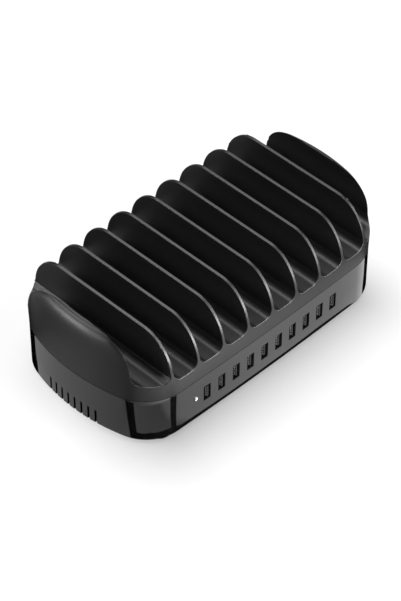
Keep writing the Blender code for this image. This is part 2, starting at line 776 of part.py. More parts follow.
def make_ports(metal, plastic):
    """Ten upright sockets: a thin metal shell round a tongue that stands out of a moulded block."""
    front = -case_half_depth(PORT_CENTRE) + SHELL_RECESS
    back = front + SHELL_DEPTH
    mouth = (SHELL_WIDTH - 2 * SHELL_WALL, SHELL_HEIGHT - 2 * SHELL_WALL)
    for number, x in enumerate(port_places(), 1):
        label = f"{number:02d}"
        form = bmesh.new()
        low = (x - SHELL_WIDTH / 2, front, PORT_CENTRE - SHELL_HEIGHT / 2)
        high = (x + SHELL_WIDTH / 2, back, PORT_CENTRE + SHELL_HEIGHT / 2)
        add_box(form, low, high)
        open_face = min(form.faces, key=lambda face: face.calc_center_median().y)
        bmesh.ops.delete(form, geom=[open_face], context="FACES_ONLY")
        shell = place("port_shell_" + label, form, metal)
        wall = shell.modifiers.new("wall", "SOLIDIFY")
        wall.thickness = SHELL_WALL
        wall.offset = -1.0
        wall.use_even_offset = True

        form = bmesh.new()
        block_back = back - SHELL_WALL - GAP
        block_front = block_back - TONGUE_BLOCK
        half_width = mouth[0] / 2 - GAP
        half_height = mouth[1] / 2 - GAP
        add_box(form, (x - half_width, block_front, PORT_CENTRE - half_height),
                (x + half_width, block_back, PORT_CENTRE + half_height))
        insulator = place("port_tongue_" + label, form, plastic)
        blade = bmesh.new()
        left = x + TONGUE_OFFSET - TONGUE_WALL / 2
        add_box(blade, (left, front + TONGUE_RECESS, PORT_CENTRE - TONGUE_HEIGHT / 2),
                (left + TONGUE_WALL, block_front + BITE, PORT_CENTRE + TONGUE_HEIGHT / 2))
        cut(insulator, place("tongue_blade_" + label, blade), "UNION")


def make_indicator(clear_plastic, lamp):
    """The indicator: a light pipe through the front wall and the lamp behind it on the port board."""
    front = -case_half_depth(LIGHT_HEIGHT)
    back = front + LIGHT_LENGTH
    form = bmesh.new()
    add_rod(form, LIGHT_RADIUS, (LIGHT_PLACE, back, LIGHT_HEIGHT), (LIGHT_PLACE, front, LIGHT_HEIGHT))
    pipe = place("light_pipe", form, clear_plastic)
    round_edges(pipe, LIGHT_DOME)
    smooth(pipe)
    form = bmesh.new()
    start = back + GAP
    end = start + LED_LENGTH
    add_rod(form, LED_RADIUS, (LIGHT_PLACE, start, LIGHT_HEIGHT), (LIGHT_PLACE, end, LIGHT_HEIGHT))
    lamp_body = place("indicator_lamp", form, lamp)
    legs = bmesh.new()
    low = (LIGHT_PLACE - LED_RADIUS / 2, start + LED_LENGTH / 2, port_board_top() + GAP)
    high = (LIGHT_PLACE + LED_RADIUS / 2, start + LED_LENGTH - BITE, LIGHT_HEIGHT)
    add_box(legs, low, high)
    cut(lamp_body, place("lamp_leg", legs), "UNION")
    smooth(lamp_body)


def make_transformer(ferrite, tape):
    """The transformer: a ferrite core with two windows, and a taped coil round its middle leg."""
    x, y = power_board_point(COIL_SHARES)
    z = power_board_top() + GAP
    form = bmesh.new()
    low = (x - CORE_LENGTH / 2, y - CORE_DEPTH / 2, z)
    high = (x + CORE_LENGTH / 2, y + CORE_DEPTH / 2, z + CORE_HEIGHT)
    add_box(form, low, high)
    core = place("transformer_core", form, ferrite)
    windows = bmesh.new()
    inner = CORE_CENTRE_LEG / 2
    outer = CORE_LENGTH / 2 - CORE_LEG
    for side in SIGNS:
        ends = sorted((x + side * inner, x + side * outer))
        low = (ends[0], y - CORE_DEPTH, z + CORE_LEG)
        high = (ends[1], y + CORE_DEPTH, z + CORE_HEIGHT - CORE_LEG)
        add_box(windows, low, high)
    cut(core, place("core_windows", windows))

    form = bmesh.new()
    low = (x - outer + GAP, y - COIL_DEPTH / 2, z + CORE_LEG + GAP)
    high = (x + outer - GAP, y + COIL_DEPTH / 2, z + CORE_HEIGHT - CORE_LEG - GAP)
    add_box(form, low, high)
    coil = place("transformer_coil", form, tape)
    round_edges(coil, LEAD_RADIUS)
    leg = bmesh.new()
    low = (x - inner - GAP, y - CORE_DEPTH / 2 - GAP, z)
    high = (x + inner + GAP, y + CORE_DEPTH / 2 + GAP, z + CORE_HEIGHT)
    add_box(leg, low, high)
    cut(coil, place("core_leg", leg))


def make_can(name, x, y, radius, height, material):
    """An upright capacitor can with a rounded top."""
    base = power_board_top() + GAP
    profile = [(0, base + height), (radius - CAN_EDGE, base + height), (radius, base + height - CAN_EDGE)]
    profile += [(radius, base), (0, base)]
    can = make_turned(name, profile, material)
    can.location = (x, y, 0)


def make_heat_sink(name, shares, material):
    """An aluminium heat sink: an upright plate with a row of fins on one side."""
    x, y = power_board_point(shares)
    z = power_board_top() + GAP
    start = x - SINK_LENGTH / 2
    end = start + SINK_LENGTH
    profile = [(start, y), (start, y + SINK_WALL), (end, y + SINK_WALL), (end, y)]
    spacing = (SINK_LENGTH - SINK_FIN_WALL) / (SINK_FIN_COUNT - 1)
    for index in reversed(range(SINK_FIN_COUNT)):
        left = start + index * spacing
        right = left + SINK_FIN_WALL
        if index < SINK_FIN_COUNT - 1:
            profile.append((right, y))
        profile += [(right, y - SINK_FIN_REACH), (left, y - SINK_FIN_REACH)]
        if index:
            profile.append((left, y))
    form = bmesh.new()
    add_prism(form, profile, 2, z, z + SINK_HEIGHT)
    place(name, form, material)


def make_power_parts(colours):
    """What stands on the power board."""
    make_transformer(colours["ferrite"], colours["tape"])
    for number, shares in enumerate(PRIMARY_CAPACITOR_SHARES, 1):
        x, y = power_board_point(shares)
        label = f"mains_capacitor_{number}"
        make_can(label, x, y, PRIMARY_CAPACITOR_RADIUS, PRIMARY_CAPACITOR_HEIGHT, colours["sleeve"])
    x, y = power_board_point(OUTPUT_CAPACITOR_SHARES)
    for number in range(OUTPUT_CAPACITOR_COUNT):
        shift = number * OUTPUT_CAPACITOR_PITCH
        label = f"output_capacitor_{number + 1}"
        make_can(label, x + shift, y, OUTPUT_CAPACITOR_RADIUS, OUTPUT_CAPACITOR_HEIGHT, colours["sleeve"])
    for name, shares in zip(("output_heat_sink", "mains_heat_sink"), SINK_SHARES):
        make_heat_sink(name, shares, colours["aluminium"])

    z = power_board_top() + GAP
    x, y = power_board_point(BRIDGE_SHARES)
    length, depth, height = BRIDGE_SIZE
    profile = [
        (x - length / 2, z),
        (x + length / 2, z),
        (x + length / 2, z + height - BRIDGE_CORNER),
        (x + length / 2 - BRIDGE_CORNER, z + height),
        (x - length / 2, z + height),
    ]
    form = bmesh.new()
    add_prism(form, profile, 1, y - depth / 2, y + depth / 2)
    place("bridge_rectifier", form, colours["board_plastic"])

    x, y = power_board_point(FILTER_SHARES)
    length, depth, height = FILTER_SIZE
    form = bmesh.new()
    add_box(form, (x - length / 2, y - depth / 2, z), (x + length / 2, y + depth / 2, z + height))
    round_edges(place("filter_capacitor", form, colours["film"]), FILTER_EDGE)

    x, y = power_board_point(CHOKE_SHARES)
    form = bmesh.new()
    rings = []
    for step in range(ROUND_SIDES):
        turn = 2 * math.pi * step / ROUND_SIDES
        rings.append((math.cos(turn), math.sin(turn)))
    rows = []
    for cosine, sine in rings:
        row = []
        for part in range(SMALL_SIDES // 2):
            angle = 4 * math.pi * part / SMALL_SIDES
            reach = CHOKE_RADIUS + CHOKE_WINDING * math.cos(angle)
            height = z + CHOKE_WINDING + CHOKE_WINDING * math.sin(angle)
            row.append(form.verts.new((x + reach * cosine, y + reach * sine, height)))
        rows.append(row)
    for row, following in zip(rows, rows[1:] + rows[:1]):
        for first in range(len(row)):
            second = (first + 1) % len(row)
            form.faces.new((row[first], row[second], following[second], following[first]))
    choke = place("choke_coil", form, colours["copper"])
    smooth(choke)


def make_inlet(housing, metal):
    """The mains inlet: a flanged housing with a two pin socket, open to the rear."""
    x, z = inlet_x(), bay_middle()
    seat = bay_floor() + GAP
    face = seat + FLANGE_WALL
    size = (INLET_LENGTH + 2 * FLANGE_LAP, INLET_HEIGHT + 2 * FLANGE_LAP)
    form = bmesh.new()
    add_prism(form, rounded_rectangle((x, z), size, FLANGE_LAP), 1, seat, face)
    inlet = place("mains_inlet", form, housing)
    round_edges(inlet, FLANGE_EDGE)
    body = bmesh.new()
    back = face - INLET_DEPTH
    low = (x - INLET_LENGTH / 2, back, z - INLET_HEIGHT / 2)
    add_box(body, low, (x + INLET_LENGTH / 2, seat + FLANGE_WALL / 2, z + INLET_HEIGHT / 2))
    cut(inlet, place("inlet_body", body), "UNION")
    socket = bmesh.new()
    mouth = rounded_rectangle((x, z), (SOCKET_LENGTH, SOCKET_HEIGHT), SOCKET_HEIGHT * SOCKET_CORNER_SHARE)
    add_prism(socket, mouth, 1, face - SOCKET_DEPTH, face + OVERRUN)
    cut(inlet, place("inlet_socket", socket))
    bores = bmesh.new()
    for side in SIGNS:
        place_x = x + side * PIN_SPACING / 2
        bore_end = (place_x, face - SOCKET_DEPTH + OVERRUN, z)
        add_rod(bores, PIN_RADIUS + GAP, (place_x, back - OVERRUN, z), bore_end)
    cut(inlet, place("inlet_pin_bores", bores))
    smooth(inlet)
    for side, name in zip(SIGNS, ("left", "right")):
        place_x = x + side * PIN_SPACING / 2
        form = bmesh.new()
        add_rod(form, PIN_RADIUS, (place_x, back - PIN_TAIL, z), (place_x, face - PIN_RECESS, z), SMALL_SIDES)
        pin = place("inlet_pin_" + name, form, metal)
        round_edges(pin, PIN_RADIUS / 2)
        smooth(pin)


def make_switch(housing, rocker_plastic, metal):
    """The power switch: a flanged housing, and a rocker that tips on two trunnions."""
    x, z = switch_x(), bay_middle()
    seat = bay_floor() + GAP
    face = seat + FLANGE_WALL
    size = (SWITCH_LENGTH + 2 * FLANGE_LAP, SWITCH_HEIGHT + 2 * FLANGE_LAP)
    form = bmesh.new()
    add_prism(form, rounded_rectangle((x, z), size, FLANGE_LAP), 1, seat, face)
    frame = place("switch_housing", form, housing)
    round_edges(frame, FLANGE_EDGE)
    body = bmesh.new()
    back = face - SWITCH_DEPTH
    low = (x - SWITCH_LENGTH / 2, back, z - SWITCH_HEIGHT / 2)
    add_box(body, low, (x + SWITCH_LENGTH / 2, seat + FLANGE_WALL / 2, z + SWITCH_HEIGHT / 2))
    cut(frame, place("switch_body", body), "UNION")
    well = bmesh.new()
    half_x = SWITCH_LENGTH / 2 - SWITCH_WALL
    half_z = SWITCH_HEIGHT / 2 - SWITCH_WALL
    add_box(well, (x - half_x, back + SWITCH_WALL, z - half_z), (x + half_x, face + OVERRUN, z + half_z))
    cut(frame, place("switch_well", well))
    pivot = face - ROCKER_PIVOT_DEPTH
    bearings = bmesh.new()
    reach = SWITCH_LENGTH / 2 + OVERRUN
    add_rod(bearings, TRUNNION_RADIUS + GAP, (x - reach, pivot, z), (x + reach, pivot, z))
    cut(frame, place("switch_bearings", bearings))
    smooth(frame)

    form = bmesh.new()
    half_width = half_x - GAP
    profile = [
        (ROCKER_TIP, -ROCKER_HALF_HEIGHT),
        (ROCKER_DISH, 0),
        (ROCKER_TIP, ROCKER_HALF_HEIGHT),
        (0, ROCKER_HALF_HEIGHT),
        (-ROCKER_ROOT, ROCKER_HUB),
        (-ROCKER_ROOT, -ROCKER_HUB),
        (0, -ROCKER_HALF_HEIGHT),
    ]
    add_prism(form, profile, 0, -half_width, half_width)
    rocker = place("switch_rocker", form, rocker_plastic)
    round_edges(rocker, GAP)
    axle = bmesh.new()
    half_axle = SWITCH_LENGTH / 2 - GAP
    add_rod(axle, TRUNNION_RADIUS, (-half_axle, 0, 0), (half_axle, 0, 0))
    trunnions = place("rocker_trunnions", axle)
    trunnions.parent = rocker
    cut(rocker, trunnions, "UNION")
    rocker.location = (x, pivot, z)
    rocker.rotation_euler = (-ROCKER_ANGLE, 0, 0)
    smooth(rocker)

    length, depth, wall = TERMINAL_SIZE
    for number, share in enumerate(TERMINAL_SHARES, 1):
        level = z + share * half_z
        form = bmesh.new()
        low = (x - length / 2, back - GAP - depth, level - wall / 2)
        add_box(form, low, (x + length / 2, back - GAP, level + wall / 2))
        place(f"switch_terminal_{number}", form, metal)


def make_lead(name, route, material):
    """An insulated lead along a route of points, with its corners rounded."""
    points = [Vector(point) for point in route]
    path = [points[0]]
    for before, corner, after in zip(points, points[1:], points[2:]):
        into = (before - corner).normalized() * min(LEAD_BEND, (before - corner).length / 2)
        out = (after - corner).normalized() * min(LEAD_BEND, (after - corner).length / 2)
        for step in range(EDGE_STEPS + 2):
            share = step / (EDGE_STEPS + 1)
            start, end = corner + into, corner + out
            path.append(start * (1 - share) ** 2 + corner * 2 * share * (1 - share) + end * share**2)
    path.append(points[-1])
    curve = bpy.data.curves.new(name, "CURVE")
    curve.dimensions = "3D"
    curve.bevel_depth = LEAD_RADIUS
    curve.bevel_resolution = 1
    curve.use_fill_caps = True
    spline = curve.splines.new("POLY")
    spline.points.add(len(path) - 1)
    for spot, point in zip(spline.points, path):
        spot.co = (*point, 1.0)
    curve.materials.append(material)
    lead = bpy.data.objects.new(name, curve)
    PARTS.objects.link(lead)


def make_leads(colours):
    """The leads from the inlet and the switch to the power board, and on to the port board."""
    lift = LEAD_RADIUS + GAP
    board = power_board_top() + lift
    z = bay_middle()
    inlet_back = bay_floor() + GAP + FLANGE_WALL - INLET_DEPTH - PIN_TAIL - lift
    switch_back = bay_floor() + GAP + FLANGE_WALL - SWITCH_DEPTH - GAP - TERMINAL_SIZE[1] - lift
    back_edge = power_board_point((0, 1))[1]
    left_pin = inlet_x() - PIN_SPACING / 2
    right_pin = inlet_x() + PIN_SPACING / 2
    lower, upper = [z + share * (SWITCH_HEIGHT / 2 - SWITCH_WALL) for share in TERMINAL_SHARES]
    landing = back_edge - 2 * LEAD_BEND
    make_lead(
        "neutral_lead",
        [(left_pin, inlet_back, z), (left_pin, inlet_back, board)],
        colours["blue"],
    )
    make_lead(
        "live_lead",
        [(right_pin, inlet_back, z), (switch_x(), switch_back, upper)],
        colours["brown"],
    )
    make_lead(
        "switched_lead",
        [(switch_x(), switch_back, lower), (switch_x(), landing, board)],
        colours["brown"],
    )
    start = power_board_point((OUTPUT_LEAD_SHARE, 0))
    port_back = port_board_point((0, 1))[1]
    high = port_board_top() + lift
    for side, name, colour in zip(SIGNS, ("positive", "negative"), ("red", "black")):
        x = start[0] + side * LEAD_BEND
        route = [
            (x, start[1] + LEAD_BEND, board),
            (x, start[1] + LEAD_BEND / 2, board + LEAD_BEND),
            (x, port_back - LEAD_BEND, high),
        ]
        make_lead("output_lead_" + name, route, colours[colour])


def main():
    colours = {
        "satin": new_material("satin_black_plastic", (0.022, 0.022, 0.023), 0.42),
        "gloss": new_material("gloss_black_plastic", (0.012, 0.012, 0.013), 0.12),
        "rubber": new_material("black_rubber", (0.018, 0.018, 0.018), 0.85),
        "zinc": new_material("zinc_plated_steel", (0.62, 0.62, 0.60), 0.35, 1.0),
        "dark_metal": new_material("blackened_steel", (0.035, 0.035, 0.036), 0.4, 1.0),
        "board": new_material("green_circuit_board", (0.02, 0.16, 0.06), 0.5),
        "tongue": new_material("dark_socket_plastic", (0.05, 0.05, 0.052), 0.5),
        "clear": new_material("white_light_pipe", (0.95, 0.96, 1.0), 0.25, 0.0, 1.0),
        "lamp": new_material("white_lamp", (0.9, 0.9, 0.92), 0.3),
        "ferrite": new_material("grey_ferrite", (0.07, 0.07, 0.075), 0.6),
        "tape": new_material("yellow_winding_tape", (0.75, 0.55, 0.08), 0.5),
        "sleeve": new_material("dark_capacitor_sleeve", (0.03, 0.035, 0.07), 0.35),
        "aluminium": new_material("plain_aluminium", (0.75, 0.76, 0.78), 0.4, 1.0),
        "board_plastic": new_material("black_component_plastic", (0.03, 0.03, 0.03), 0.5),
        "film": new_material("yellow_film_capacitor", (0.8, 0.62, 0.1), 0.4),
        "copper": new_material("copper_winding", (0.7, 0.3, 0.14), 0.35, 1.0),
        "socket": new_material("black_socket_plastic", (0.02, 0.02, 0.02), 0.45),
        "brass": new_material("nickel_plated_brass", (0.72, 0.68, 0.58), 0.25, 1.0),
        "blue": new_material("blue_insulation", (0.02, 0.12, 0.55), 0.5),
        "brown": new_material("brown_insulation", (0.18, 0.07, 0.03), 0.5),
        "red": new_material("red_insulation", (0.6, 0.03, 0.02), 0.5),
        "black": new_material("black_insulation", (0.02, 0.02, 0.02), 0.5),
    }
    make_rack_cover(colours["satin"])
    make_lower_case(colours["gloss"])
    make_feet(colours["rubber"])
    make_case_screws(colours["zinc"])
    make_boards(colours["board"])
    make_ports(colours["dark_metal"], colours["tongue"])
    make_indicator(colours["clear"], colours["lamp"])
    make_power_parts(colours)
    make_inlet(colours["socket"], colours["brass"])
    make_switch(colours["socket"], colours["socket"], colours["brass"])
    make_leads(colours)


main()
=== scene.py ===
"""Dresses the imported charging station: finishes, finer mouldings, contacts, floor, light and camera."""

import json
import math

import bmesh
import bpy
from mathutils import Matrix, Vector

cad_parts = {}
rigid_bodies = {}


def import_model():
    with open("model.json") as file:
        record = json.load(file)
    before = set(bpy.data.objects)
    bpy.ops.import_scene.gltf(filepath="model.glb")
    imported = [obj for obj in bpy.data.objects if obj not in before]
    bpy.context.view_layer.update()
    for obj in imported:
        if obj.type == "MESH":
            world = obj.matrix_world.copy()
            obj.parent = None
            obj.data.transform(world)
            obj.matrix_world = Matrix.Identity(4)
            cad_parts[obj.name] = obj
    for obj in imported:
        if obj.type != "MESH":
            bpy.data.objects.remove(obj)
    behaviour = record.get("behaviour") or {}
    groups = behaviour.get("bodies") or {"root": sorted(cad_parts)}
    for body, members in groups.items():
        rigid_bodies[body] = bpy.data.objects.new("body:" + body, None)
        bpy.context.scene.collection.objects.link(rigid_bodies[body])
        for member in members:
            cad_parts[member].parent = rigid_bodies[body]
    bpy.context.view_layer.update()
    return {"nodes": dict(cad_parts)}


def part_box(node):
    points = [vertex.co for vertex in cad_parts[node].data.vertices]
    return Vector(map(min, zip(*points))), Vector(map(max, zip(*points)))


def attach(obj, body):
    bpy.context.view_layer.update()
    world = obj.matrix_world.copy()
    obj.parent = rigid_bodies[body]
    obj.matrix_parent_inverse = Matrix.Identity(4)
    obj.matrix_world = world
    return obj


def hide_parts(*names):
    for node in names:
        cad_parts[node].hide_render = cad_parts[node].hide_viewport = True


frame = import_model()

NODES = {thing.name: thing for thing in bpy.data.objects}


# Node helpers


def node(tree, kind, **values):
    """Adds a node. Values go to its inputs, or to its own settings where it has no such input."""
    made = tree.nodes.new(kind)
    for key, value in values.items():
        label = key.replace("_", " ").title()
        if label in made.inputs:
            made.inputs[label].default_value = value
        else:
            setattr(made, key, value)
    return made


def math_node(tree, operation, first, second=None):
    """Adds a maths node whose inputs are sockets or numbers, and returns its output."""
    made = tree.nodes.new("ShaderNodeMath")
    made.operation = operation
    for socket, value in zip(made.inputs, (first, second)):
        if isinstance(value, bpy.types.NodeSocket):
            tree.links.new(value, socket)
        elif value is not None:
            socket.default_value = value
    return made.outputs[0]


def ramp(tree, source, stops):
    """Adds a colour ramp on a value, from pairs of position and grey level or colour."""
    made = tree.nodes.new("ShaderNodeValToRGB")
    points = made.color_ramp.elements
    points[0].position, points[-1].position = stops[0][0], stops[-1][0]
    for position, level in stops[1:-1]:
        points.new(position)
    for point, (position, level) in zip(points, stops):
        colour = level if isinstance(level, tuple) else (level, level, level)
        point.color = (*colour, 1.0)
    tree.links.new(source, made.inputs["Fac"])
    return made.outputs["Color"]


def empty_tree(owner):
    """Turns on the nodes of a material or world and clears them."""
    owner.use_nodes = True
    owner.node_tree.nodes.clear()
    return owner.node_tree


# Finishes

BROAD_GRAIN = 38.0
TINT_STOPS = (0.3, 0.7)
SHEEN_STOPS = (0.25, 0.75)
REFRACTION = 1.5


def surface(name, colour, roughness, metallic=0.0, spread=0.06, grain=900.0, bump=0.0, vary=0.08,
            coat=0.0, coat_roughness=0.05, stretch=(1.0, 1.0, 1.0), specular=0.5):
    """A Principled finish with fine variation of its colour, gloss and surface."""
    made = bpy.data.materials.new(name)
    made.use_nodes = True
    tree = made.node_tree
    shader = tree.nodes["Principled BSDF"]
    shader.inputs["Metallic"].default_value = metallic
    shader.inputs["IOR"].default_value = REFRACTION
    shader.inputs["Specular IOR Level"].default_value = specular
    shader.inputs["Coat Weight"].default_value = coat
    shader.inputs["Coat Roughness"].default_value = coat_roughness
    place = node(tree, "ShaderNodeTexCoord")
    scale = node(tree, "ShaderNodeMapping")
    scale.inputs["Scale"].default_value = stretch
    tree.links.new(place.outputs["Object"], scale.inputs["Vector"])
    broad = node(tree, "ShaderNodeTexNoise", scale=BROAD_GRAIN, detail=3.0)
    fine = node(tree, "ShaderNodeTexNoise", scale=grain, detail=2.0)
    for noise in (broad, fine):
        tree.links.new(scale.outputs["Vector"], noise.inputs["Vector"])
    low = tuple(max(part * (1 - vary), 0) for part in colour)
    high = tuple(min(part * (1 + vary), 1) for part in colour)
    tint = ramp(tree, broad.outputs["Fac"], list(zip(TINT_STOPS, (low, high))))
    tree.links.new(tint, shader.inputs["Base Color"])
    sheen = list(zip(SHEEN_STOPS, (roughness * (1 - spread), roughness * (1 + spread))))
    tree.links.new(ramp(tree, broad.outputs["Fac"], sheen), shader.inputs["Roughness"])
    if bump:
        relief = node(tree, "ShaderNodeBump", strength=1.0, distance=bump)
        tree.links.new(fine.outputs["Fac"], relief.inputs["Height"])
        tree.links.new(relief.outputs["Normal"], shader.inputs["Normal"])
    return made


SATIN = surface("satin_black", (0.007, 0.007, 0.0072), 0.36, bump=0.00002, grain=2600.0, specular=1.0)
GLOSS = surface("gloss_black", (0.006, 0.006, 0.0062), 0.06, spread=0.15, grain=60.0, specular=1.0,
                coat=1.0, coat_roughness=0.03)
RUBBER = surface("rubber_black", (0.014, 0.014, 0.014), 0.82, bump=0.00003, grain=1800.0)
ZINC = surface("zinc", (0.60, 0.60, 0.57), 0.34, 1.0, bump=0.00001)
SHELL = surface("blackened_steel", (0.022, 0.022, 0.023), 0.42, 1.0, spread=0.2)
BOARD = surface("board_green", (0.012, 0.12, 0.045), 0.42, vary=0.2)
TONGUE = surface("tongue_black", (0.028, 0.028, 0.029), 0.55, specular=0.2)
CLEAR = surface("light_pipe_white", (0.92, 0.93, 0.95), 0.3, vary=0.02)
LAMP = surface("lamp_white", (0.85, 0.86, 0.88), 0.25, vary=0.02)
FERRITE = surface("ferrite_grey", (0.06, 0.06, 0.065), 0.6, bump=0.00003)
TAPE = surface("tape_yellow", (0.72, 0.50, 0.06), 0.4)
SLEEVE = surface("sleeve_dark", (0.02, 0.025, 0.06), 0.3)
ALUMINIUM = surface("aluminium", (0.74, 0.75, 0.77), 0.38, 1.0, spread=0.2, stretch=(1.0, 1.0, 8.0))
EPOXY = surface("component_black", (0.02, 0.02, 0.02), 0.5, bump=0.00002)
FILM = surface("film_yellow", (0.75, 0.55, 0.07), 0.35)
COPPER = surface("copper", (0.62, 0.25, 0.11), 0.3, 1.0, stretch=(1.0, 1.0, 6.0))
SOCKET = surface("socket_black", (0.018, 0.018, 0.018), 0.4, bump=0.00001)
BRASS = surface("nickelled_brass", (0.70, 0.66, 0.56), 0.25, 1.0, spread=0.2)
BLUE = surface("lead_blue", (0.015, 0.08, 0.42), 0.45)
BROWN = surface("lead_brown", (0.13, 0.05, 0.02), 0.45)
RED = surface("lead_red", (0.5, 0.02, 0.015), 0.45)
BLACK = surface("lead_black", (0.015, 0.015, 0.015), 0.45)

# The start of a node's name gives its finish
FINISHES = {
    "rack_cover": SATIN,
    "lower_case": GLOSS,
    "foot_": RUBBER,
    "case_screw": ZINC,
    "port_shell": SHELL,
    "port_tongue": TONGUE,
    "port_board": BOARD,
    "power_board": BOARD,
    "light_pipe": CLEAR,
    "indicator_lamp": LAMP,
    "transformer_core": FERRITE,
    "transformer_coil": TAPE,
    "mains_capacitor": SLEEVE,
    "output_capacitor": SLEEVE,
    "output_heat": ALUMINIUM,
    "mains_heat": ALUMINIUM,
    "bridge": EPOXY,
    "choke": COPPER,
    "filter": FILM,
    "mains_inlet": SOCKET,
    "inlet_pin": BRASS,
    "switch_housing": SOCKET,
    "switch_rocker": SOCKET,
    "switch_terminal": BRASS,
    "neutral": BLUE,
    "live": BROWN,
    "switched": BROWN,
    "output_lead_positive": RED,
    "output_lead_negative": BLACK,
}


def finish_nodes():
    for name in frame["nodes"]:
        for start, finish in FINISHES.items():
            if name.startswith(start):
                slots = NODES[name].data.materials
                slots.clear()
                slots.append(finish)
                break


finish_nodes()


# Finer mouldings, drawn from the same sizes as the solids that they replace

SLOT_COUNT = 10
SLOT_PITCH = 0.025
DIVIDER_WALL = 0.0025
DIVIDER_RISE = 0.03615
DIVIDER_ARCH = 0.0285
DIVIDER_ARCH_POWER = 1.93
SLOT_FILLET = 0.007
SEAM_HALF_DEPTH = 0.0733
BASE_HALF_DEPTH = 0.0729
# The rim is 0.05 mm inside the solid's, because its finer bow reaches a little further out
RIM_HALF_DEPTH = 0.0742
END_FACE = (SLOT_COUNT * SLOT_PITCH - DIVIDER_WALL) / 2
END_WALL = 0.00975
HALF_LENGTH = END_FACE + END_WALL
DOME_REACH = 0.0107
DOME_RISE = 0.0342
DOME_POWER = 2.43
CORNER_RADIUS = 0.038
NEAR_CORNER_RADIUS = 0.0335
TOP_CORNER_RADIUS = 0.0323
CORNER_CHANGE_RISE = 0.0188
CORNER_LIMIT = 0.9
END_RADIUS = 0.1625
FRONT_RADIUS = 3.2
STAND = 0.0035
SEAM_Z = 0.0425
RIM_Z = 0.05725
TOP_Z = 0.0934
CASE_WALL = 0.0022
COVER_WALL = 0.0022
COVER_FLOOR = 0.0025
GAP = 0.0003
OVERRUN = 0.002

# Roundings of the rack: the width at the lips, and its share at the tops and under the floor
LIP_EDGE = 0.0007
TOP_SHARE = 0.6
UNDER_SHARE = 0.3
SHORT_EDGE = 0.0006
SHARP_ANGLE = math.radians(32)

# How finely curves are drawn
FRONT_STEPS = 4
FRONT_SPREAD = 3.8
CORNER_STEPS = 26
END_STEPS = 12
ARCH_STEPS = 26
FILLET_STEPS = 10
LIP_STEPS = 4

SIGNS = (-1, 1)
ALONG_Y = 1
ALONG_Z = 2


def mesh_object(name, form, material=None):
    """Turns a bmesh into an object of the scene, with its faces outward."""
    bmesh.ops.recalc_face_normals(form, faces=form.faces)
    mesh = bpy.data.meshes.new(name)
    form.to_mesh(mesh)
    form.free()
    thing = bpy.data.objects.new(name, mesh)
    bpy.context.scene.collection.objects.link(thing)
    if material:
        mesh.materials.append(material)
    return thing


def add_box(form, low, high):
    size = [b - a for a, b in zip(low, high)]
    middle = [(a + b) / 2 for a, b in zip(low, high)]
    bmesh.ops.create_cube(form, size=1.0, matrix=Matrix.Translation(middle) @ Matrix.Diagonal((*size, 1.0)))


def add_rod(form, radius, start, end, sides):
    start, end = Vector(start), Vector(end)
    turn = (end - start).to_track_quat("Z", "Y").to_matrix().to_4x4()
    bmesh.ops.create_cone(form, cap_ends=True, segments=sides, radius1=radius, radius2=radius,
                          depth=(end - start).length, matrix=Matrix.Translation((start + end) / 2) @ turn)


def add_prism(form, profile, along, start, end):
    """A prism of a flat profile, whose points leave out the axis that it runs along."""
    rows = []
    for reach in (start, end):
        row = []
        for first, second in profile:
            point = [first, second]
            point.insert(along, reach)
            row.append(form.verts.new(point))
        rows.append(row)
    form.faces.new(rows[0][::-1])
    form.faces.new(rows[1])
    for index in range(len(profile)):
        after = (index + 1) % len(profile)
        form.faces.new((rows[0][index], rows[0][after], rows[1][after], rows[1][index]))


def add_loft(form, rings):
    """A closed body through rings of equally many points."""
    rows = [[form.verts.new(point) for point in ring] for ring in rings]
    for lower, upper in zip(rows, rows[1:]):
        for index, vert in enumerate(lower):
            after = (index + 1) % len(lower)
            form.faces.new((vert, lower[after], upper[after], upper[index]))
    form.faces.new(rows[0][::-1])
    form.faces.new(rows[-1])


def rounded_rectangle(centre, size, corner, steps):
    points = []
    half = [value / 2 - corner for value in size]
    for quarter, (side, rise) in enumerate(((1, 1), (-1, 1), (-1, -1), (1, -1))):
        for step in range(steps + 1):
            angle = math.pi / 2 * (quarter + step / steps)
            points.append((centre[0] + side * half[0] + corner * math.cos(angle),
                           centre[1] + rise * half[1] + corner * math.sin(angle)))
    return points


def plan_quarter(half_length, half_depth, corner, inset):
    """A quarter of the plan: a shallow bow at the front, a round corner and a bow at the end."""
    end_centre = Vector((half_length - END_RADIUS, 0))
    front_centre = Vector((0, half_depth - FRONT_RADIUS))
    end_reach = END_RADIUS - corner
    front_reach = FRONT_RADIUS - corner
    between = front_centre - end_centre
    span = between.length
    along = (end_reach**2 - front_reach**2 + span**2) / (2 * span)
    across = math.sqrt(end_reach**2 - along**2)
    axis = between / span
    corner_centre = end_centre + axis * along + Vector((-axis.y, axis.x)) * across
    front_in = FRONT_RADIUS - inset
    start = math.atan2(corner_centre.y - front_centre.y, corner_centre.x - front_centre.x)
    limit = front_centre.x + front_in * math.cos(start)
    points = []
    for index in range(FRONT_STEPS):
        x = (index + 0.5) * SLOT_PITCH * min(1.0, limit / (FRONT_SPREAD * SLOT_PITCH))
        points.append((x, front_centre.y + math.sqrt(front_in**2 - x**2)))
    join = math.atan2(corner_centre.y, corner_centre.x - end_centre.x)
    for step in range(CORNER_STEPS + 1):
        angle = start + (join - start) * step / CORNER_STEPS
        points.append(tuple(corner_centre + (corner - inset) * Vector((math.cos(angle), math.sin(angle)))))
    for step in range(1, END_STEPS + 1):
        angle = join * (1 - step / END_STEPS)
        points.append(tuple(end_centre + (END_RADIUS - inset) * Vector((math.cos(angle), math.sin(angle)))))
    return points


